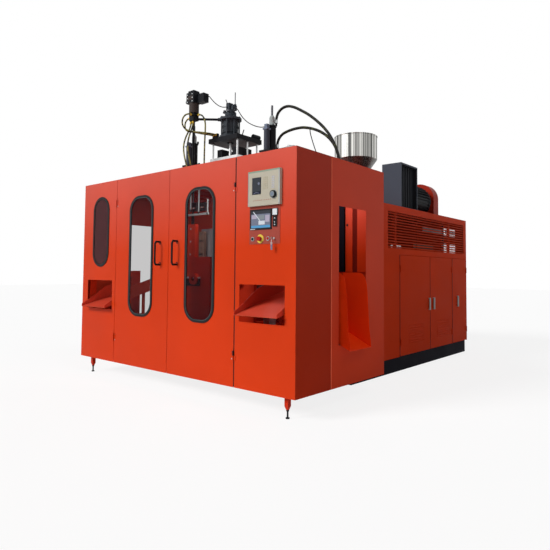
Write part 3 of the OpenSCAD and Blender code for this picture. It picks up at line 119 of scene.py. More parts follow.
def noise(tree, coords, scale, detail=3.0, rough=0.5):
    node = tree.nodes.new("ShaderNodeTexNoise")
    node.inputs["Scale"].default_value = scale
    node.inputs["Detail"].default_value = detail
    node.inputs["Roughness"].default_value = rough
    tree.links.new(coords, node.inputs["Vector"])
    return node.outputs["Fac"]


def ramp(tree, value, stops):
    """Colours along a value, from stops of place and colour."""
    node = tree.nodes.new("ShaderNodeValToRGB")
    band = node.color_ramp
    while len(band.elements) < len(stops):
        band.elements.new(0.5)
    for element, (place, colour) in zip(band.elements, stops):
        element.position = place
        element.color = (*colour, 1)
    tree.links.new(value, node.inputs[0])
    return node.outputs[0]


def span(tree, value, low, high, out_low, out_high):
    """A value's range mapped to another range, and held at its ends."""
    node = tree.nodes.new("ShaderNodeMapRange")
    ends = {"From Min": low, "From Max": high, "To Min": out_low, "To Max": out_high}
    for key, number in ends.items():
        node.inputs[key].default_value = number
    tree.links.new(value, node.inputs["Value"])
    return node.outputs[0]


def mix(tree, factor, a, b):
    """Colour a blended into colour b by a factor; each may be a socket or a plain value."""
    node = tree.nodes.new("ShaderNodeMix")
    node.data_type = "RGBA"
    for socket, value in ((node.inputs[0], factor), (node.inputs[6], a), (node.inputs[7], b)):
        if hasattr(value, "links"):
            tree.links.new(value, socket)
        elif isinstance(value, (int, float)):
            socket.default_value = value
        else:
            socket.default_value = (*value, 1)
    return node.outputs[2]


def bump(tree, shader, height, strength, distance):
    node = tree.nodes.new("ShaderNodeBump")
    node.inputs["Strength"].default_value = strength
    node.inputs["Distance"].default_value = distance
    tree.links.new(height, node.inputs["Height"])
    tree.links.new(node.outputs[0], shader.inputs["Normal"])


def shade(colour, factor):
    return tuple(min(1, part * factor) for part in colour)


def enamel(name, colour, rough=0.34, painted_sheen=None, gloss=0.07):
    """Sprayed enamel: cloudy tone, orange peel, dull patches, and a painted sheen: a pale tint that grows
    upwards.
    """
    mat, tree, shader = new_material(name)
    coords = object_coords(tree)
    clouds = noise(tree, coords, 1.1, 4)
    tone = ramp(tree, clouds, [(0.3, shade(colour, 0.93)), (0.7, shade(colour, 1.05))])
    fine = noise(tree, coords, 60, 5)
    tone = mix(tree, span(tree, fine, 0.6, 0.9, 0, 0.25), tone, shade(colour, 0.8))
    # Painted sheen: the tone pales towards a tint as the height grows
    if painted_sheen:
        low, high, amount, sheen_colour = painted_sheen
        place = tree.nodes.new("ShaderNodeSeparateXYZ")
        tree.links.new(coords, place.inputs[0])
        tone = mix(tree, span(tree, place.outputs["Z"], low, high, 0, amount), tone, sheen_colour)
    tree.links.new(tone, shader.inputs["Base Color"])
    patches = noise(tree, coords, 3.5, 6, 0.65)
    dull = span(tree, patches, 0.3, 0.75, rough - 0.05, rough + 0.1)
    tree.links.new(dull, shader.inputs["Roughness"])
    shader.inputs["Specular IOR Level"].default_value = gloss
    bump(tree, shader, noise(tree, coords, 420, 2), 0.05, 0.0005)
    return mat


def machined(name, colour, rough=0.3, stretch=(1, 1, 12)):
    """Turned or ground metal with fine streaks and darker smears."""
    mat, tree, shader = new_material(name)
    streaks = noise(tree, object_coords(tree, stretch), 45, 6, 0.6)
    smears = noise(tree, object_coords(tree), 9, 5, 0.6)
    tone = ramp(tree, streaks, [(0.3, shade(colour, 0.8)), (0.7, shade(colour, 1.1))])
    tone = mix(tree, span(tree, smears, 0.5, 0.8, 0, 0.4), tone, shade(colour, 0.6))
    tree.links.new(tone, shader.inputs["Base Color"])
    shader.inputs["Metallic"].default_value = 1
    dull = span(tree, streaks, 0.2, 0.8, rough - 0.08, rough + 0.15)
    tree.links.new(dull, shader.inputs["Roughness"])
    bump(tree, shader, streaks, 0.08, 0.0005)
    return mat


def plastic(name, colour, rough=0.45):
    """Moulded plastic or rubber with a fine grain and a little dust."""
    mat, tree, shader = new_material(name)
    coords = object_coords(tree)
    dust = noise(tree, coords, 14, 6, 0.6)
    dusty = tuple(0.7 * part + 0.03 for part in colour)
    tone = mix(tree, span(tree, dust, 0.5, 0.9, 0, 0.2), colour, dusty)
    tree.links.new(tone, shader.inputs["Base Color"])
    tree.links.new(span(tree, dust, 0.3, 0.8, rough - 0.08, rough + 0.12), shader.inputs["Roughness"])
    shader.inputs["Specular IOR Level"].default_value = 0.12
    bump(tree, shader, noise(tree, coords, 600, 2), 0.1, 0.0003)
    return mat


def tinted_glass(name, colour, clear):
    """Tinted acrylic with a gloss that is a little smeared."""
    mat, tree, shader = new_material(name)
    smear = noise(tree, object_coords(tree), 6, 5)
    tone = ramp(tree, smear, [(0.35, colour), (0.7, shade(colour, 1.25))])
    tree.links.new(tone, shader.inputs["Base Color"])
    shader.inputs["Alpha"].default_value = 1 - clear
    shader.inputs["Specular IOR Level"].default_value = 0.08
    tree.links.new(span(tree, smear, 0.3, 0.8, 0.04, 0.1), shader.inputs["Roughness"])
    return mat


def lit_board(name, colour, strength):
    """Pale mottled board that glows: painted daylight from behind."""
    mat, tree, shader = new_material(name)
    cloud = noise(tree, object_coords(tree), 22, 4, 0.7)
    tone = ramp(tree, cloud, [(0.35, shade(colour, 0.3)), (0.6, colour)])
    tree.links.new(tone, shader.inputs["Base Color"])
    tree.links.new(tone, shader.inputs["Emission Color"])
    shader.inputs["Emission Strength"].default_value = strength
    return mat


def hose_skin(name, colour, other, highlight_share):
    """Braided hose: slanting bands from its UV map, and painted highlights: a second colour over a share of
    it.
    """
    mat, tree, shader = new_material(name)
    uv = tree.nodes.new("ShaderNodeTexCoord").outputs["UV"]
    wave = tree.nodes.new("ShaderNodeTexWave")
    wave.wave_type = "BANDS"
    wave.bands_direction = "DIAGONAL"
    wave.inputs["Scale"].default_value = 60
    tree.links.new(uv, wave.inputs["Vector"])
    patches = noise(tree, object_coords(tree), 26, 4)
    tone = ramp(tree, wave.outputs["Fac"], [(0.2, colour), (0.8, shade(colour, 1.6))])
    tone = mix(tree, span(tree, patches, 0.62 - highlight_share / 2, 0.7 - highlight_share / 2, 0, 1), tone, other)
    tree.links.new(tone, shader.inputs["Base Color"])
    shader.inputs["Roughness"].default_value = 0.5
    shader.inputs["Specular IOR Level"].default_value = 0.12
    bump(tree, shader, wave.outputs["Fac"], 0.4, 0.001)
    return mat


HOPPER_AXIS = (0, 3670)
HOPPER_CONE_TOP = 3.015
HOPPER_REFLECTION_BANDS = 36


def hopper_skin(name, colour):
    """Bright stainless: upright bands of noise around the hopper's axis as painted reflections, dark on its
    cone.
    """
    mat, tree, shader = new_material(name)
    coords = tree.nodes.new("ShaderNodeTexCoord").outputs["Object"]
    mapping = tree.nodes.new("ShaderNodeMapping")
    mapping.inputs["Location"].default_value = -at(*HOPPER_AXIS, 0)
    tree.links.new(coords, mapping.inputs[0])
    around = tree.nodes.new("ShaderNodeTexGradient")
    around.gradient_type = "RADIAL"
    tree.links.new(mapping.outputs[0], around.inputs[0])
    turns = tree.nodes.new("ShaderNodeCombineXYZ")
    tree.links.new(around.outputs["Fac"], turns.inputs["X"])
    # The bands are painted reflections on the bright metal
    streaks = noise(tree, turns.outputs[0], HOPPER_REFLECTION_BANDS, 2, 0.6)
    bands = ramp(tree, streaks, [(0.42, shade(colour, 0.1)), (0.6, shade(colour, 0.95))])
    speckle = noise(tree, object_coords(tree), 55, 4, 0.6)
    mottled = ramp(tree, speckle, [(0.4, shade(colour, 0.04)), (0.65, shade(colour, 0.4))])
    place = tree.nodes.new("ShaderNodeSeparateXYZ")
    tree.links.new(coords, place.inputs[0])
    on_cone = span(tree, place.outputs["Z"], HOPPER_CONE_TOP - 0.003, HOPPER_CONE_TOP + 0.003, 1, 0)
    tone = mix(tree, on_cone, bands, mottled)
    tree.links.new(tone, shader.inputs["Base Color"])
    shader.inputs["Metallic"].default_value = 0.85
    shader.inputs["Roughness"].default_value = 0.38
    return mat


# Tint of the painted sheen, which pales the enamels towards their top
SHEEN_COLOUR = (0.95, 0.5, 0.5)
MATERIALS = {
    "front": enamel("front_enamel", (0.62, 0.042, 0.0055), painted_sheen=(1.45, 2.3, 0.12, SHEEN_COLOUR)),
    "corner": enamel("corner_enamel", (0.42, 0.026, 0.005), painted_sheen=(0.6, 2.3, 0.05, SHEEN_COLOUR), gloss=0.02),
    "side": enamel("side_enamel", (0.64, 0.05, 0.014), painted_sheen=(0.3, 2.0, 0.06, SHEEN_COLOUR), gloss=0.02),
    "frame": enamel("frame_enamel", (0.55, 0.03, 0.008), rough=0.4),
    "rear": enamel("rear_enamel", (0.62, 0.044, 0.008), rough=0.42, painted_sheen=(1.4, 2.2, 0.04, SHEEN_COLOUR),
                   gloss=0.01),
    # Darker copy of the frame paint for the belt guard: painted shade
    "guard": enamel("shaded_guard_enamel", (0.36, 0.02, 0.006), rough=0.4),
    "deep_red": enamel("deep_red_enamel", (0.16, 0.008, 0.003), rough=0.5),
    # Pale copy of the red paint for painted highlights along edges
    "edge_highlight": enamel("edge_highlight_enamel", (0.9, 0.16, 0.08), rough=0.4),
    # Paler, pinker copy of the front paint: painted sheen on the chute floors
    "chute": enamel("chute_enamel", (0.64, 0.066, 0.034), rough=0.36),
    # Brighter copy of the red paint: painted light inside the side chutes, for light bounced between their
    # walls
    "side_chute": enamel("lit_side_chute_enamel", (0.95, 0.05, 0.004), rough=0.4),
    "black": enamel("black_enamel", (0.012, 0.013, 0.016), rough=0.42),
    "grey_blue": enamel("grey_blue_enamel", (0.062, 0.072, 0.095), rough=0.45),
    # Near-black for faces deep in recesses: painted shade
    "recess_shade": enamel("recess_shade_enamel", (0.022, 0.024, 0.028), rough=0.5),
    "slate": enamel("slate_enamel", (0.05, 0.058, 0.068), rough=0.45),
    "brown_grey": enamel("brown_grey_enamel", (0.055, 0.042, 0.038), rough=0.5),
    "cap_blue": enamel("cap_blue_enamel", (0.18, 0.22, 0.30), rough=0.45),
    "gear": enamel("gear_enamel", (0.022, 0.03, 0.032), rough=0.45),
    "plinth": enamel("plinth_enamel", (0.010, 0.009, 0.014), rough=0.5, gloss=0.01),
    "beige": enamel("beige_enamel", (0.50, 0.46, 0.37), rough=0.42),
    "edge_green": enamel("edge_green_enamel", (0.26, 0.35, 0.27), rough=0.42),
    "edge_grey": enamel("edge_grey_enamel", (0.42, 0.46, 0.46), rough=0.42),
    "faded": enamel("faded_red_enamel", (0.36, 0.07, 0.05), rough=0.4),
    "brown_mould": enamel("brown_clamp_enamel", (0.16, 0.10, 0.075), rough=0.5),
    "steel": machined("ground_steel", (0.62, 0.62, 0.62)),
    "dark_steel": machined("dark_steel", (0.09, 0.09, 0.10), rough=0.42),
    "zinc": machined("zinc_steel", (0.5, 0.52, 0.52), rough=0.4, stretch=(4, 4, 4)),
    "stainless": hopper_skin("stainless_sheet", (0.80, 0.80, 0.76)),
    "mould": machined("mould_metal", (0.42, 0.43, 0.45), rough=0.4, stretch=(8, 1, 1)),
    "black_plastic": plastic("black_plastic", (0.010, 0.010, 0.012)),
    "grey_plastic": plastic("grey_plastic", (0.22, 0.25, 0.27)),
    "white_plastic": plastic("white_plastic", (0.72, 0.75, 0.78)),
    "red_plastic": plastic("red_plastic", (0.42, 0.012, 0.01), rough=0.25),
    "dull_red_plastic": plastic("dull_red_plastic", (0.45, 0.16, 0.12)),
    "tan_plastic": plastic("tan_plastic", (0.47, 0.42, 0.31)),
    "lilac_plastic": plastic("lilac_plastic", (0.50, 0.50, 0.55)),
    "yellow_plastic": plastic("yellow_plastic", (0.80, 0.58, 0.08), rough=0.35),
    "screen_dark": plastic("screen_dark", (0.04, 0.045, 0.055), rough=0.2),
    "screen_grey": plastic("screen_grey", (0.17, 0.19, 0.26), rough=0.2),
    "screen_lilac": plastic("screen_lilac", (0.42, 0.38, 0.48), rough=0.2),
    "screen_cyan": plastic("screen_cyan", (0.09, 0.32, 0.58), rough=0.2),
    "screen_pale": plastic("screen_pale", (0.62, 0.66, 0.72), rough=0.2),
    "display": plastic("display_glass", (0.012, 0.012, 0.028), rough=0.12),
    "rubber": plastic("seal_rubber", (0.010, 0.012, 0.013), rough=0.5),
    # Paler rubber for the painted highlight on the window seals
    "seal_highlight": plastic("seal_highlight_rubber", (0.075, 0.09, 0.095), rough=0.5),
    "pane": tinted_glass("tinted_pane", (0.019, 0.006, 0.009), clear=0.74),
    "dark_pane": tinted_glass("dark_pane", (0.06, 0.013, 0.016), clear=0.2),
    # The olive patches on the black hoses are painted highlights
    "hose": hose_skin("braided_hose", (0.010, 0.010, 0.009), (0.045, 0.05, 0.015), 0.15),
    "lit_board": lit_board("lit_board", (0.8, 0.78, 0.8), 0.7),
    # The yellow patches on the tower hoses are painted highlights
    "yellow_hose": hose_skin("yellow_hose", (0.022, 0.022, 0.012), (0.33, 0.31, 0.10), 0.32),
}


# Shapes

def add_object(name, data, looks, body):
    obj = bpy.data.objects.new(name, data)
    bpy.context.scene.collection.objects.link(obj)
    for look in looks:
        data.materials.append(MATERIALS[look])
    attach(obj, body)
    return obj


# Cords, with their routes as in the CAD source

CURVE_STEPS = 6
HOSE_D = 0.030
TOWER_HOSE_D = 0.018
CABLE_D = 0.010
UPPER_ROUTE = [
    (675, 911, 2865), (675, 911, 2884), (677, 911, 2912), (684, 912, 2942), (698, 912, 2970),
    (718, 913, 2993), (743, 915, 3011), (772, 917, 3023), (802, 919, 3028), (833, 922, 3027),
    (867, 925, 3019), (926, 928, 2995), (1000, 932, 2952), (1080, 935, 2901),
    (1150, 936, 2848), (1220, 936, 2788), (1290, 936, 2720), (1356, 936, 2640),
    (1410, 936, 2553), (1446, 936, 2474), (1467, 936, 2410), (1478, 936, 2364),
    (1480, 936, 2332), (1480, 936, 2310),
]
LOWER_ROUTE = [
    (665, 945, 2600), (665, 945, 2620), (667, 946, 2649), (674, 948, 2679), (688, 951, 2706),
    (708, 954, 2729), (733, 958, 2748), (764, 963, 2761), (802, 968, 2771), (848, 973, 2779),
    (909, 977, 2783), (989, 980, 2779), (1080, 982, 2757), (1160, 984, 2726),
    (1230, 985, 2688), (1296, 985, 2640), (1353, 985, 2582), (1395, 985, 2522),
    (1424, 985, 2464), (1441, 985, 2412), (1449, 985, 2368), (1450, 985, 2334),
    (1450, 985, 2310),
]
TOWER_ROUTES = [
    [(-375, 575, 3040), (-386, 575, 3040), (-400, 575, 3039), (-418, 575, 3035),
     (-435, 575, 3027), (-450, 575, 3015), (-461, 575, 2999), (-467, 575, 2980),
     (-468, 576, 2960), (-464, 577, 2940), (-455, 578, 2922), (-441, 580, 2907),
     (-423, 582, 2896), (-401, 586, 2888), (-372, 591, 2881), (-335, 599, 2873),
     (-291, 610, 2861), (-249, 626, 2849), (-213, 647, 2841), (-185, 671, 2836),
     (-167, 696, 2833), (-156, 719, 2831), (-151, 741, 2830), (-150, 760, 2830)],
    [(-302, 556, 2986), (-302, 556, 2968), (-302, 555, 2949), (-304, 551, 2924),
     (-308, 544, 2894), (-315, 534, 2857), (-323, 523, 2814), (-329, 514, 2764),
     (-331, 509, 2710), (-327, 508, 2655), (-318, 510, 2600), (-306, 515, 2545),
     (-294, 521, 2490), (-286, 526, 2440), (-281, 529, 2395), (-280, 530, 2360),
     (-280, 530, 2335), (-280, 530, 2310)],
    [(-344, 560, 2986), (-344, 560, 2968), (-344, 559, 2949), (-347, 554, 2923),
     (-353, 545, 2892), (-363, 533, 2854), (-375, 519, 2811), (-384, 507, 2764),
     (-389, 498, 2711), (-386, 494, 2655), (-376, 493, 2600), (-362, 495, 2545),
     (-348, 500, 2490), (-336, 505, 2440), (-328, 509, 2395), (-325, 510, 2360),
     (-325, 510, 2335), (-325, 510, 2310)],
    [(-300, 530, 3060), (-300, 520, 3060), (-300, 507, 3060), (-301, 489, 3058),
     (-304, 471, 3052), (-309, 454, 3042), (-316, 440, 3027), (-324, 431, 3009),
     (-333, 428, 2989), (-342, 430, 2968), (-348, 435, 2947), (-350, 444, 2927),
     (-348, 456, 2908), (-341, 470, 2891), (-329, 486, 2877), (-312, 501, 2866),
     (-290, 517, 2858), (-266, 533, 2853), (-241, 550, 2849), (-213, 568, 2846),
     (-181, 593, 2842), (-153, 623, 2839), (-131, 656, 2837), (-117, 691, 2836),
     (-111, 723, 2835), (-110, 744, 2835), (-110, 760, 2835)],
    [(-265, 600, 3065), (-255, 600, 3065), (-243, 600, 3064), (-224, 601, 3060),
     (-205, 603, 3051), (-189, 606, 3038), (-176, 610, 3021), (-168, 614, 3001),
     (-164, 619, 2978), (-164, 625, 2950), (-168, 630, 2915), (-174, 635, 2872),
     (-181, 639, 2823), (-188, 643, 2770), (-193, 646, 2710), (-198, 649, 2640),
     (-200, 650, 2570), (-200, 650, 2500), (-200, 650, 2430), (-200, 650, 2365),
     (-200, 650, 2335), (-200, 650, 2310)],
]
CABLE_ROUTES = [
    [(-150, 630, 3270), (-140, 630, 3270), (-129, 631, 3269), (-118, 634, 3264),
     (-107, 640, 3254), (-97, 650, 3237), (-86, 667, 3215), (-74, 690, 3193), (-60, 720, 3172),
     (-44, 753, 3159), (-29, 780, 3156), (-19, 800, 3159), (-12, 816, 3163), (-10, 824, 3164),
     (-10, 830, 3165)],
    [(58, 862, 3150), (68, 862, 3150), (79, 862, 3149), (92, 862, 3145), (106, 861, 3137),
     (122, 860, 3123), (143, 857, 3100), (172, 853, 3063), (210, 848, 3018), (260, 841, 2970),
     (320, 832, 2925), (390, 822, 2884), (460, 812, 2851), (520, 803, 2829), (565, 796, 2817),
     (596, 792, 2813), (613, 790, 2812), (625, 790, 2812)],
    [(1085, 982, 2740), (1085, 982, 2729), (1087, 981, 2717), (1091, 979, 2702),
     (1099, 975, 2681), (1111, 970, 2653), (1127, 963, 2618), (1146, 956, 2577),
     (1167, 950, 2532), (1188, 946, 2487), (1206, 943, 2443), (1219, 941, 2405),
     (1229, 940, 2372), (1234, 940, 2346), (1235, 940, 2328), (1235, 940, 2310)],
]


def smooth_route(points):
    """Catmull-Rom points through a route, in the row frame."""
    p = [at(*q) for q in points]
    out = []
    for i in range(len(p) - 1):
        a, b, c, d = p[max(i - 1, 0)], p[i], p[i + 1], p[min(i + 2, len(p) - 1)]
        for k in range(CURVE_STEPS):
            t = k / CURVE_STEPS
            out.append(0.5 * (2 * b + (c - a) * t + (2 * a - 5 * b + 4 * c - d) * t * t
                              + (3 * b - a - 3 * c + d) * t ** 3))
    out.append(p[-1])
    return out


def add_cord(name, route, diameter, look, node):
    """A round cord along a route, in the place of its CAD node."""
    points = smooth_route(route)
    data = bpy.data.curves.new(name, "CURVE")
    data.dimensions = "3D"
    data.bevel_depth = diameter / 2
    data.bevel_resolution = 4
    data.use_fill_caps = True
    spline = data.splines.new("POLY")
    spline.points.add(len(points) - 1)
    for target, point in zip(spline.points, points):
        target.co = (*point, 1)
    obj = add_object(name, data, [look], "machine")
    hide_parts(node)


add_cord("upper_air_hose", UPPER_ROUTE, HOSE_D, "hose", "upper_hose")
add_cord("lower_air_hose", LOWER_ROUTE, HOSE_D, "hose", "lower_hose")
for number, route in enumerate(TOWER_ROUTES):
    add_cord(f"tower_hose_{number + 1}", route, TOWER_HOSE_D, "yellow_hose", "tower_hoses")
for number, route in enumerate(CABLE_ROUTES):
    add_cord(f"thin_cable_{number + 1}", route, CABLE_D, "black_plastic", "thin_cables")


# Looks of the CAD parts

SLOT_LOOK = {
    "cabinet_paint": "front", "frame_paint": "frame", "rear_paint": "rear", "black_paint": "black",
    "grey_paint": "grey_blue", "gear_paint": "gear", "controller_paint": "beige",
    "plate_paint": "faded", "black_plastic": "black_plastic", "screen_plastic": "black_plastic",
    "red_plastic": "red_plastic", "rubber": "rubber", "hose_rubber": "hose",
    "tinted_pane": "pane", "machined_steel": "steel", "dark_steel": "dark_steel",
    "stainless": "stainless", "mould_metal": "mould",
}
NODE_LOOK = {
    "side_window_pane": "dark_pane", "front_chutes": "chute", "side_chutes": "side_chute",
    "belt_guard": "guard", "right_corner_panel": "corner", "right_side_panel": "side",
    "left_side_panel": "side", "rear_base": "plinth", "head_cylinder": "slate",
    "left_blow_pin": "dark_steel", "right_blow_pin": "dark_steel",
}
NODE_SLOT = {s["node"]: s["material_slot"] for s in frame["record"]["subparts"]}
CREASE = math.radians(35)


def paint_nodes():
    for name, obj in NODE.items():
        look = NODE_LOOK.get(name, SLOT_LOOK[NODE_SLOT[name]])
        obj.data.materials.clear()
        obj.data.materials.append(MATERIALS[look])


def paint_part(node, look, inside):
    """A second look for the faces of a node whose middle, in millimetres, lies inside."""
    mesh = NODE[node].data
    mesh.materials.append(MATERIALS[look])
    for face in mesh.polygons:
        middle = face.center
        if inside(middle.x * 1000, (middle.y - FRONT_Y) * 1000, middle.z * 1000):
            face.material_index = len(mesh.materials) - 1


# Places that the CAD source names too, in millimetres
ROOF_TOP = 2288
HANDLE_X = 140
HANDLE_Z = 1420
HINGE_SEAM = 966
HINGE_ZS = (475, 2010)
WINDOW_MIDDLE = (482, 1400)
WINDOW_SIZE = (435, 1325)
WINDOW_RADIUS = 170
CHUTE_LIP_Z = 850
LEFT_CHUTE_DROP = 44
STATION_X = 645
STATION_Y = 875
VALVE_TOWER = (-320, 585)
REAR_X = 1255
VENT_FACE = 1190
BUTTON_Z = 1522
STOP_X = 1282
KEY_X = 1440

# Heights at which a part changes its colour, in millimetres
STAND_LEGS_Z = 2562
STAND_TOP_Z = 2744
VALVE_BLOCK_Z = (3091, 3202)
BLOW_VALVE_Z = (2548, 2773)
REAR_GRIP_Z = (720, 900)


def paint_parts():
    """Second colours of parts that are one piece in the CAD model."""
    for side, node in ((-1, "left_door"), (1, "right_door")):
        paint_part(node, "black", lambda x, y, z: y < -1 and HANDLE_X - 40 < side * x < HANDLE_X + 50)
    paint_part("right_door", "black", lambda x, y, z: x > HINGE_SEAM - 9 and y < 12)
    paint_part("roof_panel", "black_plastic", lambda x, y, z: z > ROOF_TOP + 1)
    paint_part("head_stand", "black", lambda x, y, z: z > STAND_TOP_Z or
               (z > STAND_LEGS_Z and 80 < abs(x) < 172 and 820 < y < 1070))
    paint_part("valve_tower", "brown_grey", lambda x, y, z: VALVE_BLOCK_Z[0] < z < VALVE_BLOCK_Z[1])
    paint_part("valve_tower", "zinc", lambda x, y, z: x < VALVE_TOWER[0] - 76)
    # Painted shade on the louvre panel behind its blades and inside the ventilation box's recess
    paint_part("louvre_panel", "recess_shade", lambda x, y, z: x < REAR_X - 12)
    paint_part("ventilation_box", "recess_shade",
               lambda x, y, z: VENT_FACE - 70 < x < VENT_FACE - 5 and z > 2100)
    valve_low, valve_high = BLOW_VALVE_Z
    for side, node in ((-1, "left_blow_cylinder"), (1, "right_blow_cylinder")):
        middle = side * STATION_X
        paint_part(node, "grey_blue", lambda x, y, z: y < STATION_Y - 52 and valve_low < z < valve_high)
        paint_part(node, "cap_blue", lambda x, y, z: y < STATION_Y - 52 and z > valve_high)
        paint_part(node, "edge_grey",
                   lambda x, y, z: y > STATION_Y - 40 and z > 2835 and abs(x - middle) < 31)
    for node in ("rear_left_door", "rear_right_door", "rear_end_door"):
        paint_part(node, "edge_grey", lambda x, y, z: x > REAR_X + 7 and REAR_GRIP_Z[0] < z < REAR_GRIP_Z[1])


paint_nodes()
paint_parts()


# Fittings that are too small or too flat for the CAD parts

FORWARD = (0, -1, 0)
UP = (0, 0, 1)
QUARTERS = ((1, 1), (-1, 1), (-1, -1), (1, -1))
ARC_STEPS = 9


class Piece:
    """A mesh of several looks, built from boxes, rods and rings given in millimetres."""

    def __init__(self):
        self.mesh = bmesh.new()
        self.looks = []

    def solid(self, rings, look):
        """Closed skin over equal rings of points."""
        loops = [[self.mesh.verts.new(at(*p)) for p in ring] for ring in rings]
        count = len(loops[0])
        faces = []
        for a, b in zip(loops, loops[1:]):
            for i in range(count):
                j = (i + 1) % count
                faces.append(self.mesh.faces.new((a[i], a[j], b[j], b[i])))
        faces.append(self.mesh.faces.new(loops[0][::-1]))
        faces.append(self.mesh.faces.new(loops[-1]))
        if look not in self.looks:
            self.looks.append(look)
        for face in faces:
            face.material_index = self.looks.index(look)

    def box(self, a, b, look, round_by=1.0):
        """A box between two corners, with the edges of its front face cut by a small bevel."""
        (x0, y0, z0), (x1, y1, z1) = a, b
        c = min(round_by, (x1 - x0) / 3, (z1 - z0) / 3, (y1 - y0) / 2)
        edge = [(x0 + c, z0), (x1 - c, z0), (x1, z0 + c), (x1, z1 - c), (x1 - c, z1), (x0 + c, z1),
                (x0, z1 - c), (x0, z0 + c)]
        inset = [(min(max(x, x0 + c), x1 - c), min(max(z, z0 + c), z1 - c)) for x, z in edge]
        self.solid([[(x, y0, z) for x, z in inset], [(x, y0 + c, z) for x, z in edge],
                    [(x, y1, z) for x, z in edge]], look)

    def bent(self, path, half_w, half_t, look):
        """A flat bar in an upright plane, through points (x, y, z) at one depth y."""
        for a, b in zip(path, path[1:]):
            length = math.hypot(b[0] - a[0], b[2] - a[2])
            nx, nz = -(b[2] - a[2]) / length * half_w, (b[0] - a[0]) / length * half_w
            self.solid([[(x + nx, y - half_t, z + nz), (x - nx, y - half_t, z - nz),
                         (x - nx, y + half_t, z - nz), (x + nx, y + half_t, z + nz)]
                        for x, y, z in (a, b)], look)

    def rod(self, p, q, r, look, sides=24):
        """A round bar from p to q."""
        a, b = Vector(p), Vector(q)
        side, other, _ = across(b - a)
        turns = [2 * math.pi * i / sides for i in range(sides)]
        self.solid([[end + (side * math.cos(t) + other * math.sin(t)) * r for t in turns]
                    for end in (a, b)], look)

    def ring(self, centre, axis, r_in, r_out, depth, look, sides=40):
        """A flat ring around an axis through the centre."""
        middle = Vector(centre)
        side, other, along = across(Vector(axis))
        rings = []
        for i in range(sides + 1):
            t = 2 * math.pi * i / sides
            out = side * math.cos(t) + other * math.sin(t)
            rings.append([middle + out * r_in, middle + out * r_out,
                          middle + out * r_out + along * depth, middle + out * r_in + along * depth])
        self.solid(rings, look)

    def lip(self, middle, size, radius, insets, depths, look):
        """A rounded upright frame, between two insets from the outer edge of a window and two depths."""
        near, far = depths
        rings = []
        for quarter, (side_x, side_z) in enumerate(QUARTERS):
            x = middle[0] + side_x * (size[0] / 2 - radius)
            z = middle[1] + side_z * (size[1] / 2 - radius)
            for i in range(ARC_STEPS + 1):
                t = math.pi / 2 * (quarter + i / ARC_STEPS)
                (x0, z0), (x1, z1) = [(x + (radius - inset) * math.cos(t), z + (radius - inset) * math.sin(t))
                                      for inset in insets]
                rings.append([(x0, near, z0), (x1, near, z1), (x1, far, z1), (x0, far, z0)])
        self.solid(rings + rings[:1], look)

    def finish(self, name, body):
        bmesh.ops.recalc_face_normals(self.mesh, faces=self.mesh.faces)
        data = bpy.data.meshes.new(name)
        self.mesh.to_mesh(data)
        self.mesh.free()
        data.shade_smooth()
        data.set_sharp_from_angle(angle=CREASE)
        add_object(name, data, self.looks, body)


def across(axis):
    """Two directions square to an axis, and the axis itself, each of length 1."""
    along = axis.normalized()
    side = along.orthogonal().normalized()
    return side, along.cross(side), along


CONTROLLER_FRONT = -30
CONTROLLER_X = (1150, 1520)
CONTROLLER_Z = (1810, 2120)
KNOB_X = 1452
KNOB_Z = 1898
KEY_COLUMNS = (
    (1330, "tan_plastic"), (1350, "tan_plastic"), (1370, "tan_plastic"),
    (1428, "lilac_plastic"), (1446, "lilac_plastic"),
)
KEY_ROWS = 6
KEY_LOW = 1952
KEY_PITCH = 18.5
LAMP_XS = (1222, 1245, 1268, 1291, 1314, 1347, 1370, 1393, 1416)
LAMP_Z = 1858


def controller_face():
    """Display, keys, lamps and coloured edges of the parison controller."""
    face = Piece()
    front = CONTROLLER_FRONT
    (left, right), (low, high) = CONTROLLER_X, CONTROLLER_Z
    face.box((left, front - 1, high - 14), (right, front + 2, high), "edge_green")
    face.box((right - 13, front - 1, low), (right, front + 2, high - 12), "edge_grey")
    face.box((left, front - 1, low), (left + 6, front + 2, high - 14), "grey_plastic")
    face.box((1202, front - 3, 1912), (1305, front + 1, 2060), "display", 3)
    face.box((1206, front - 4, 1936), (1301, front - 2, 2056), "screen_dark", 2)
    face.rod((1282, front - 5, 2005), (1282, front - 3, 2005), 12, "screen_grey")
    curve = [(x, front - 4, z) for x, z in ((1222, 1917), (1240, 1926), (1262, 1928), (1290, 1919))]
    face.bent(curve, 2.5, 1, "screen_grey")
    for column, look in KEY_COLUMNS:
        for row in range(KEY_ROWS):
            z = KEY_LOW + row * KEY_PITCH
            face.box((column, front - 2, z), (column + 14, front + 1, z + 13), look, 2)
    for x in LAMP_XS:
        face.rod((x, front - 2, LAMP_Z), (x, front + 1, LAMP_Z), 4, "dull_red_plastic", sides=12)
    face.ring((KNOB_X, front - 1.5, KNOB_Z), FORWARD, 31, 36, 1.5, "grey_plastic")
    face.finish("controller_face", "machine")


def knob_disc():
    """Coloured disc on the front of the jog knob."""
    disc = Piece()
    disc.rod((KNOB_X, -53, KNOB_Z), (KNOB_X, -51, KNOB_Z), 14, "cap_blue")
    disc.ring((KNOB_X, -52, KNOB_Z), FORWARD, 14, 24, 1, "grey_plastic")
    disc.finish("knob_disc", "knob_body")


SCREEN_GLASS = -9.2
SCREEN_AREAS = (
    ((1174, 1740), (1398, 1768), "screen_dark"), ((1180, 1700), (1240, 1734), "screen_lilac"),
    ((1250, 1690), (1330, 1730), "grey_plastic"), ((1340, 1668), (1390, 1728), "screen_lilac"),
    ((1184, 1650), (1232, 1690), "screen_grey"), ((1262, 1646), (1336, 1680), "screen_pale"),
    ((1176, 1619), (1396, 1640), "screen_cyan"),
)
SOCKET_X = 1449
SOCKET_ZS = (1640, 1660, 1695)


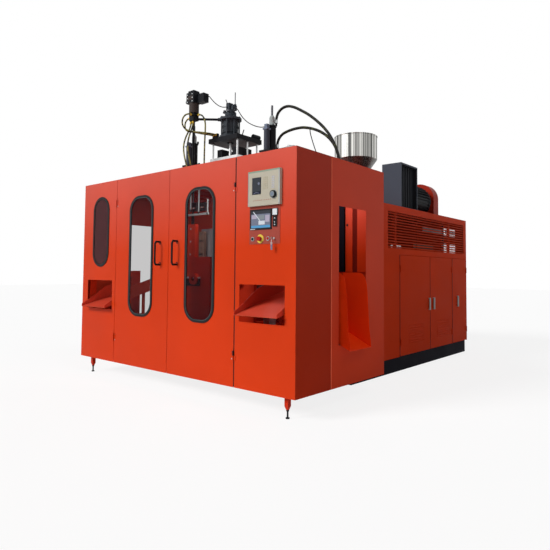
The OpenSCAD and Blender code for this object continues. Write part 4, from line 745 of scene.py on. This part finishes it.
def operator_face():
    """Plain areas of the touch screen, rocker, sockets and button rings of the operator plate."""
    plate = Piece()
    glass = SCREEN_GLASS
    plate.box((1174, glass - 0.4, 1617), (1398, glass + 0.3, 1768), "screen_grey", 2)
    for (x0, z0), (x1, z1), look in SCREEN_AREAS:
        plate.box((x0, glass - 0.8, z0), (x1, glass, z1), look)
    curve = [(x, glass - 0.9, z) for x, z in ((1200, 1762), (1262, 1700), (1300, 1650))]
    plate.bent(curve, 4, 0.3, "screen_pale")
    # Painted highlight on the lower edge of the screen's bezel
    plate.box((1166, -10.8, 1605), (1220, -9.6, 1611), "white_plastic")
    plate.box((1426, -15.5, 1722), (1478, -11.5, 1775), "white_plastic", 4)
    plate.box((1420, -12.5, 1716), (1484, -10.5, 1781), "black_plastic", 3)
    for z in SOCKET_ZS:
        plate.rod((SOCKET_X, -12, z), (SOCKET_X, -9, z), 5, "white_plastic", sides=16)
        plate.ring((SOCKET_X, -10, z), FORWARD, 8, 15, 2, "black_plastic")
    plate.box((1426, -11, 1622), (1474, -9.5, 1712), "black_plastic", 3)
    plate.ring((STOP_X, -6, BUTTON_Z), FORWARD, 18, 39, 2, "yellow_plastic")
    for x in (STOP_X - 90, STOP_X + 90):
        plate.ring((x, -8, BUTTON_Z), FORWARD, 13, 19, 1.5, "edge_grey")
    plate.finish("operator_face", "machine")


def hanging_keys():
    """Key ring and tag under the key switch."""
    keys = Piece()
    link = [(x, -38, z) for x, z in ((KEY_X, 1512), (KEY_X - 3, 1494), (KEY_X + 1, 1468))]
    keys.bent(link, 2, 1, "steel")
    keys.box((KEY_X - 10, -40, 1421), (KEY_X + 10, -37, 1470), "cap_blue", 4)
    keys.ring((KEY_X, -40, 1478), FORWARD, 9, 11, 2, "steel", sides=20)
    keys.finish("hanging_keys", "key_body")


def door_fittings():
    """Hinge screws, rings at the feet of the handles, and a painted highlight inside each window's seal."""
    for side, name in ((-1, "left_door"), (1, "right_door")):
        door = Piece()
        for hinge in HINGE_ZS:
            for z in (hinge - 30, hinge + 30):
                door.rod((side * 945, -3, z), (side * 945, 1, z), 6, "zinc", sides=6)
        for z in (HANDLE_Z - 110, HANDLE_Z + 110):
            door.ring((side * HANDLE_X, -1.5, z), FORWARD, 10, 17, 2, "black_plastic")
        middle = (side * WINDOW_MIDDLE[0], WINDOW_MIDDLE[1])
        # Painted highlight: a pale ring along the inner edge of the seal
        door.lip(middle, WINDOW_SIZE, WINDOW_RADIUS, (22.5, 27.5), (-7.6, -6.5), "seal_highlight")
        door.finish(f"{name}_fittings", f"{name}_body")


def carriage_fittings():
    """Plates, bolts and strips of the left carriage that show through the left window."""
    plates = Piece()
    plates.box((-154, 371, 1392), (-21, 376, 1749), "front")
    for z in (1420, 1560, 1700):
        plates.rod((-88, 366, z), (-88, 372, z), 10, "zinc", sides=6)
    # Painted highlight on the top edge of the end plate
    plates.box((-152, 350, 1156), (80, 372, 1174), "white_plastic")
    plates.box((-146, 354, 1076), (78, 372, 1155), "black")
    plates.box((-143, 362, 845), (160, 372, 873), "front")
    plates.box((161, 362, 797), (213, 372, 871), "chute")
    plates.finish("left_carriage_fittings", "left_carriage_body")


def clamp_frame():
    """Frame, strips and bolts of the left mould's front clamp."""
    clamp = Piece()
    clamp.box((-214, 600, 1215), (-126, 634, 1690), "brown_mould")
    for z in (1582, 1432, 1278):
        clamp.box((-213, 597, z - 9), (-141, 601, z + 9), "black")
    for z in (1250, 1500, 1660):
        clamp.rod((-170, 596, z), (-170, 600, z), 11, "dark_steel", sides=6)
    clamp.finish("left_clamp_frame", "left_front_body")


CONDUITS = ((-510, 1956, 2189), (-362, 1922, 2198), (-204, 1901, 2081))
CONDUIT_Y = 720
PLUGS = (
    (-465, "dull_red_plastic"), (-440, "white_plastic"), (-415, "dull_red_plastic"),
    (-315, "dull_red_plastic"), (-288, "white_plastic"), (-260, "dull_red_plastic"),
)
PLUG_Z = 1990


def platform_wiring():
    """Conduits, boxes and plugs under the platform that show through the left window."""
    wiring = Piece()
    for x, low, high in CONDUITS:
        wiring.rod((x, CONDUIT_Y, low), (x, CONDUIT_Y, high), 10, "edge_grey")
        wiring.rod((x, CONDUIT_Y, low - 4), (x, CONDUIT_Y, low + 22), 13, "black_plastic")
    wiring.box((-572, 712, 1900), (-186, 728, 1925), "edge_grey")
    wiring.box((-480, 706, 1950), (-390, 732, 2060), "black_plastic", 4)
    wiring.box((-335, 706, 1945), (-235, 732, 2050), "black_plastic", 4)
    for x, look in PLUGS:
        wiring.rod((x, 703, PLUG_Z), (x, 707, PLUG_Z), 7, look, sides=12)
    wiring.finish("platform_wiring", "machine")


WALL_Y = 1482
WALL_Z = (1240, 2100)


def wall_trunking():
    """Trunking and panels on the back wall that show through the right side opening."""
    wall = Piece()
    low, high = WALL_Z
    wall.box((1120, WALL_Y - 42, low), (1215, WALL_Y, high), "plinth", 4)
    wall.box((1216, WALL_Y - 12, low), (1305, WALL_Y, high), "front")
    wall.rod((1240, WALL_Y - 16, 1756), (1240, WALL_Y - 11, 1756), 12, "black_plastic")
    # Painted shade in the groove between the two orange panels
    wall.box((1306, WALL_Y - 8, low), (1366, WALL_Y, high), "deep_red")
    wall.box((1367, WALL_Y - 16, low), (1500, WALL_Y, high), "front")
    wall.finish("wall_trunking", "machine")


SEAM_Z = (196, 2284)
SEAM_RECESS = 4.5
REAR_STRIPS = (("rear_left_door", 9), ("rear_end_door", 8), ("rear_right_door", 4))


def seam_edges():
    """Strips behind the seams of the doors; painted highlights on the right side's edge and the front chutes'
    lips.
    """
    edges = Piece()
    low, high = SEAM_Z
    edges.box((-968.4, 4, low), (-963.6, 12, high), "front", 0.5)
    edges.box((963.6, 6, low), (968.4, 14, high), "rubber", 0.5)
    # Painted highlight along the front edge of the right side panel
    edges.box((1674, 516, 192), (1676.5, 525, ROOF_TOP), "edge_highlight", 0.5)
    edges.box((968.5, -0.6, low), (975.5, 0.5, high), "rubber", 0.2)
    for node, width in REAR_STRIPS:
        corner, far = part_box(node)
        y = (corner.y - FRONT_Y) * 1000
        edges.box((far.x * 1000 - 20, y - width, corner.z * 1000),
                  (REAR_X - SEAM_RECESS, y - 0.5, far.z * 1000), "deep_red", 0.2)
    # Painted highlights along the front lips of the chutes
    for side, lip in ((-1, CHUTE_LIP_Z - LEFT_CHUTE_DROP), (1, CHUTE_LIP_Z)):
        x0, x1 = sorted((side * 1045, side * 1541))
        edges.box((x0, -CHUTE_OUT, lip - 2.5), (x1, 5 - CHUTE_OUT, lip + 1.2), "edge_highlight", 0.4)
    edges.finish("side_seam_edge", "machine")


BOARD_X = 1170
# The lit boards glow: painted daylight showing between the blades
BOARDS = (
    ((4294, 1812), (4721, 1931), "lit_board"), ((4303, 1558), (4729, 1691), "lit_board"),
    ((3541, 1820), (4230, 1891), "grey_plastic"), ((2607, 1562), (2866, 1592), "lit_board"),
    ((3249, 1578), (3893, 1651), "brown_mould"),
)


def switchgear_boards():
    """Boards, terminals and wiring that show between the blades of the right louvre."""
    boards = Piece()
    for (y0, z0), (y1, z1), look in BOARDS:
        boards.box((BOARD_X, y0, z0), (BOARD_X + 10, y1, z1), look)
    boards.box((BOARD_X - 20, 4240, 1545), (BOARD_X + 15, 4268, 1960), "black")
    for i in range(8):
        y = 4330 + i * 48
        boards.box((BOARD_X + 10, y, 1840), (BOARD_X + 16, y + 26, 1905), "black_plastic", 2)
    for i in range(5):
        z = 1590 + i * 22
        boards.rod((BOARD_X + 10, 4208, z), (BOARD_X + 16, 4208, z), 5, "white_plastic", sides=10)
    boards.finish("switchgear_boards", "machine")


def roof_fittings():
    """Bracket, strip and clamp on the front edge of the roof."""
    roof = Piece()
    low = ROOF_TOP + 1
    roof.box((1453, 8, low), (1554, 30, low + 8), "black_plastic", 2)
    roof.box((1545, 8, low), (1632, 40, low + 13), "edge_grey", 2)
    roof.box((1560, 10, low + 12), (1588, 38, low + 23), "white_plastic", 2)
    roof.finish("roof_bracket", "machine")


CAP_BOLTS = 8
CAP_BOLT_R = 111
CAP_TOP = 3035


def head_cylinder_fittings():
    """Bolts on the parison cylinder's cap, the bands around it, and its pipe fittings."""
    head = Piece()
    for k in range(CAP_BOLTS):
        t = math.radians(22.5 + 45 * k)
        x, y = CAP_BOLT_R * math.cos(t), STATION_Y + CAP_BOLT_R * math.sin(t)
        head.rod((x, y, CAP_TOP), (x, y, CAP_TOP + 16), 6, "zinc", sides=12)
    head.ring((0, STATION_Y, 2922), UP, 92, 97, 16, "slate", sides=48)
    head.ring((0, STATION_Y, 2850), UP, 92, 96, 10, "black", sides=48)
    for x in (-30, 30):
        head.box((x - 14, STATION_Y - 82, 3100), (x + 14, STATION_Y - 58, 3124), "dark_steel", 3)
    for start, end in (((-64, 3102), (-96, 3120)), ((64, 3102), (92, 3122))):
        head.rod((start[0], STATION_Y - 16, start[1]), (end[0], STATION_Y - 30, end[1]), 9, "dark_steel",
                 sides=16)
    head.finish("head_cylinder_fittings", "machine")


def valve_tower_fittings():
    """Screws, cap plate and nut of the valve tower."""
    tower = Piece()
    x, y = VALVE_TOWER
    for z in (3220, 3262, 3304):
        for screw_x in (x - 52, x + 32):
            tower.rod((screw_x, y - 60, z), (screw_x, y - 54, z), 7, "zinc", sides=6)
    tower.box((x - 60, y - 58, 3238), (x + 40, y - 54, 3288), "brown_grey", 2)
    tower.rod((x - 124, y, 3250), (x - 108, y, 3250), 24, "steel", sides=6)
    tower.finish("valve_tower_fittings", "machine")


def hose_ends():
    """Swaged ends and nuts where the hoses leave their fittings."""
    ends = Piece()

    def sleeve(start, inner, length, radius, look):
        a = Vector(start)
        ends.rod(a, a + (Vector(inner) - a).normalized() * length, radius, look, sides=16)

    for route in (UPPER_ROUTE, LOWER_ROUTE):
        sleeve(route[0], route[1], 36, 18, "zinc")
        sleeve(route[-1], route[-2], 34, 18, "zinc")
    for route in TOWER_ROUTES:
        sleeve(route[0], route[1], 26, 12.5, "yellow_plastic")
        sleeve(route[-1], route[-2], 22, 12.5, "yellow_plastic")
    ends.finish("hose_ends", "machine")


for build in (controller_face, knob_disc, operator_face, hanging_keys, door_fittings, carriage_fittings,
              clamp_frame, platform_wiring, wall_trunking, seam_edges, switchgear_boards, roof_fittings,
              head_cylinder_fittings, valve_tower_fittings, hose_ends):
    build()


# Stage and light

AMBIENT = 0.13
SUN_WIDTH = 0.35
LAMP_SIZE = 0.2
FLOOR_REACH = 40
FLOOR_TONES = ((0.88, 0.88, 0.88), (0.92, 0.92, 0.92))
FLOOR_GLOW = 1.05
FLOOR_SHARE = 0.8

# Strength and direction of the suns; strength, direction and place in millimetres of the lamps inside
SUNS = ((2.5, (4, 9, -6)), (0.36, (-8, 2, -9)))
INSIDE_LAMPS = ((3.2, (0, 3, -3), (1250, 950, 2180)), (7.5, (-1, 2, -5), (150, 330, 2200)))


def white_for_rays(tree):
    """1 where a camera, glossy or transmission ray meets the surface."""
    path = tree.nodes.new("ShaderNodeLightPath")
    total = path.outputs["Is Camera Ray"]
    for other in ("Is Glossy Ray", "Is Transmission Ray"):
        node = tree.nodes.new("ShaderNodeMath")
        node.operation = "MAXIMUM"
        tree.links.new(total, node.inputs[0])
        tree.links.new(path.outputs[other], node.inputs[1])
        total = node.outputs[0]
    return total


def make_world():
    """Dim light on the object, and a white background for the rays that see it."""
    world = bpy.data.worlds.new("world")
    bpy.context.scene.world = world
    world.use_nodes = True
    tree = world.node_tree
    tree.nodes.clear()
    out = tree.nodes.new("ShaderNodeOutputWorld")
    back = tree.nodes.new("ShaderNodeBackground")
    back.inputs["Color"].default_value = (1, 1, 1, 1)
    tree.links.new(span(tree, white_for_rays(tree), 0, 1, AMBIENT, 1.0), back.inputs["Strength"])
    tree.links.new(back.outputs[0], out.inputs[0])


def add_lamp(name, kind, energy, along, size, place=(0, 0, 0)):
    data = bpy.data.lights.new(name, kind)
    data.energy = energy
    if kind == "SUN":
        data.angle = size
    else:
        data.size = size
    lamp = bpy.data.objects.new(name, data)
    bpy.context.scene.collection.objects.link(lamp)
    lamp.location = place
    lamp.rotation_euler = Vector(along).to_track_quat("-Z", "Y").to_euler()


def make_lamps():
    for number, (strength, along) in enumerate(SUNS):
        add_lamp(f"sun_{number + 1}", "SUN", strength, along, SUN_WIDTH)
    for number, (energy, along, place) in enumerate(INSIDE_LAMPS):
        add_lamp(f"inside_lamp_{number + 1}", "AREA", energy, along, LAMP_SIZE, at(*place))


def make_floor():
    """A pale floor that takes shadows, and is white where it is seen."""
    mesh = bpy.data.meshes.new("floor")
    corners = [(x * FLOOR_REACH, y * FLOOR_REACH, 0) for x, y in ((-1, -1), (1, -1), (1, 1), (-1, 1))]
    mesh.from_pydata(corners, [], [(0, 1, 2, 3)])
    floor = bpy.data.objects.new("floor", mesh)
    bpy.context.scene.collection.objects.link(floor)
    mat, tree, shader = new_material("floor")
    pale = ramp(tree, noise(tree, object_coords(tree), 0.6, 3), list(zip((0.3, 0.7), FLOOR_TONES)))
    tree.links.new(pale, shader.inputs["Base Color"])
    shader.inputs["Roughness"].default_value = 0.8
    glow = tree.nodes.new("ShaderNodeEmission")
    glow.inputs["Strength"].default_value = FLOOR_GLOW
    both = tree.nodes.new("ShaderNodeMixShader")
    tree.links.new(span(tree, white_for_rays(tree), 0, 1, 0, FLOOR_SHARE), both.inputs[0])
    tree.links.new(shader.outputs[0], both.inputs[1])
    tree.links.new(glow.outputs[0], both.inputs[2])
    out = next(n for n in tree.nodes if n.type == "OUTPUT_MATERIAL")
    tree.links.new(both.outputs[0], out.inputs[0])
    mesh.materials.append(mat)


make_floor()
make_world()
make_lamps()
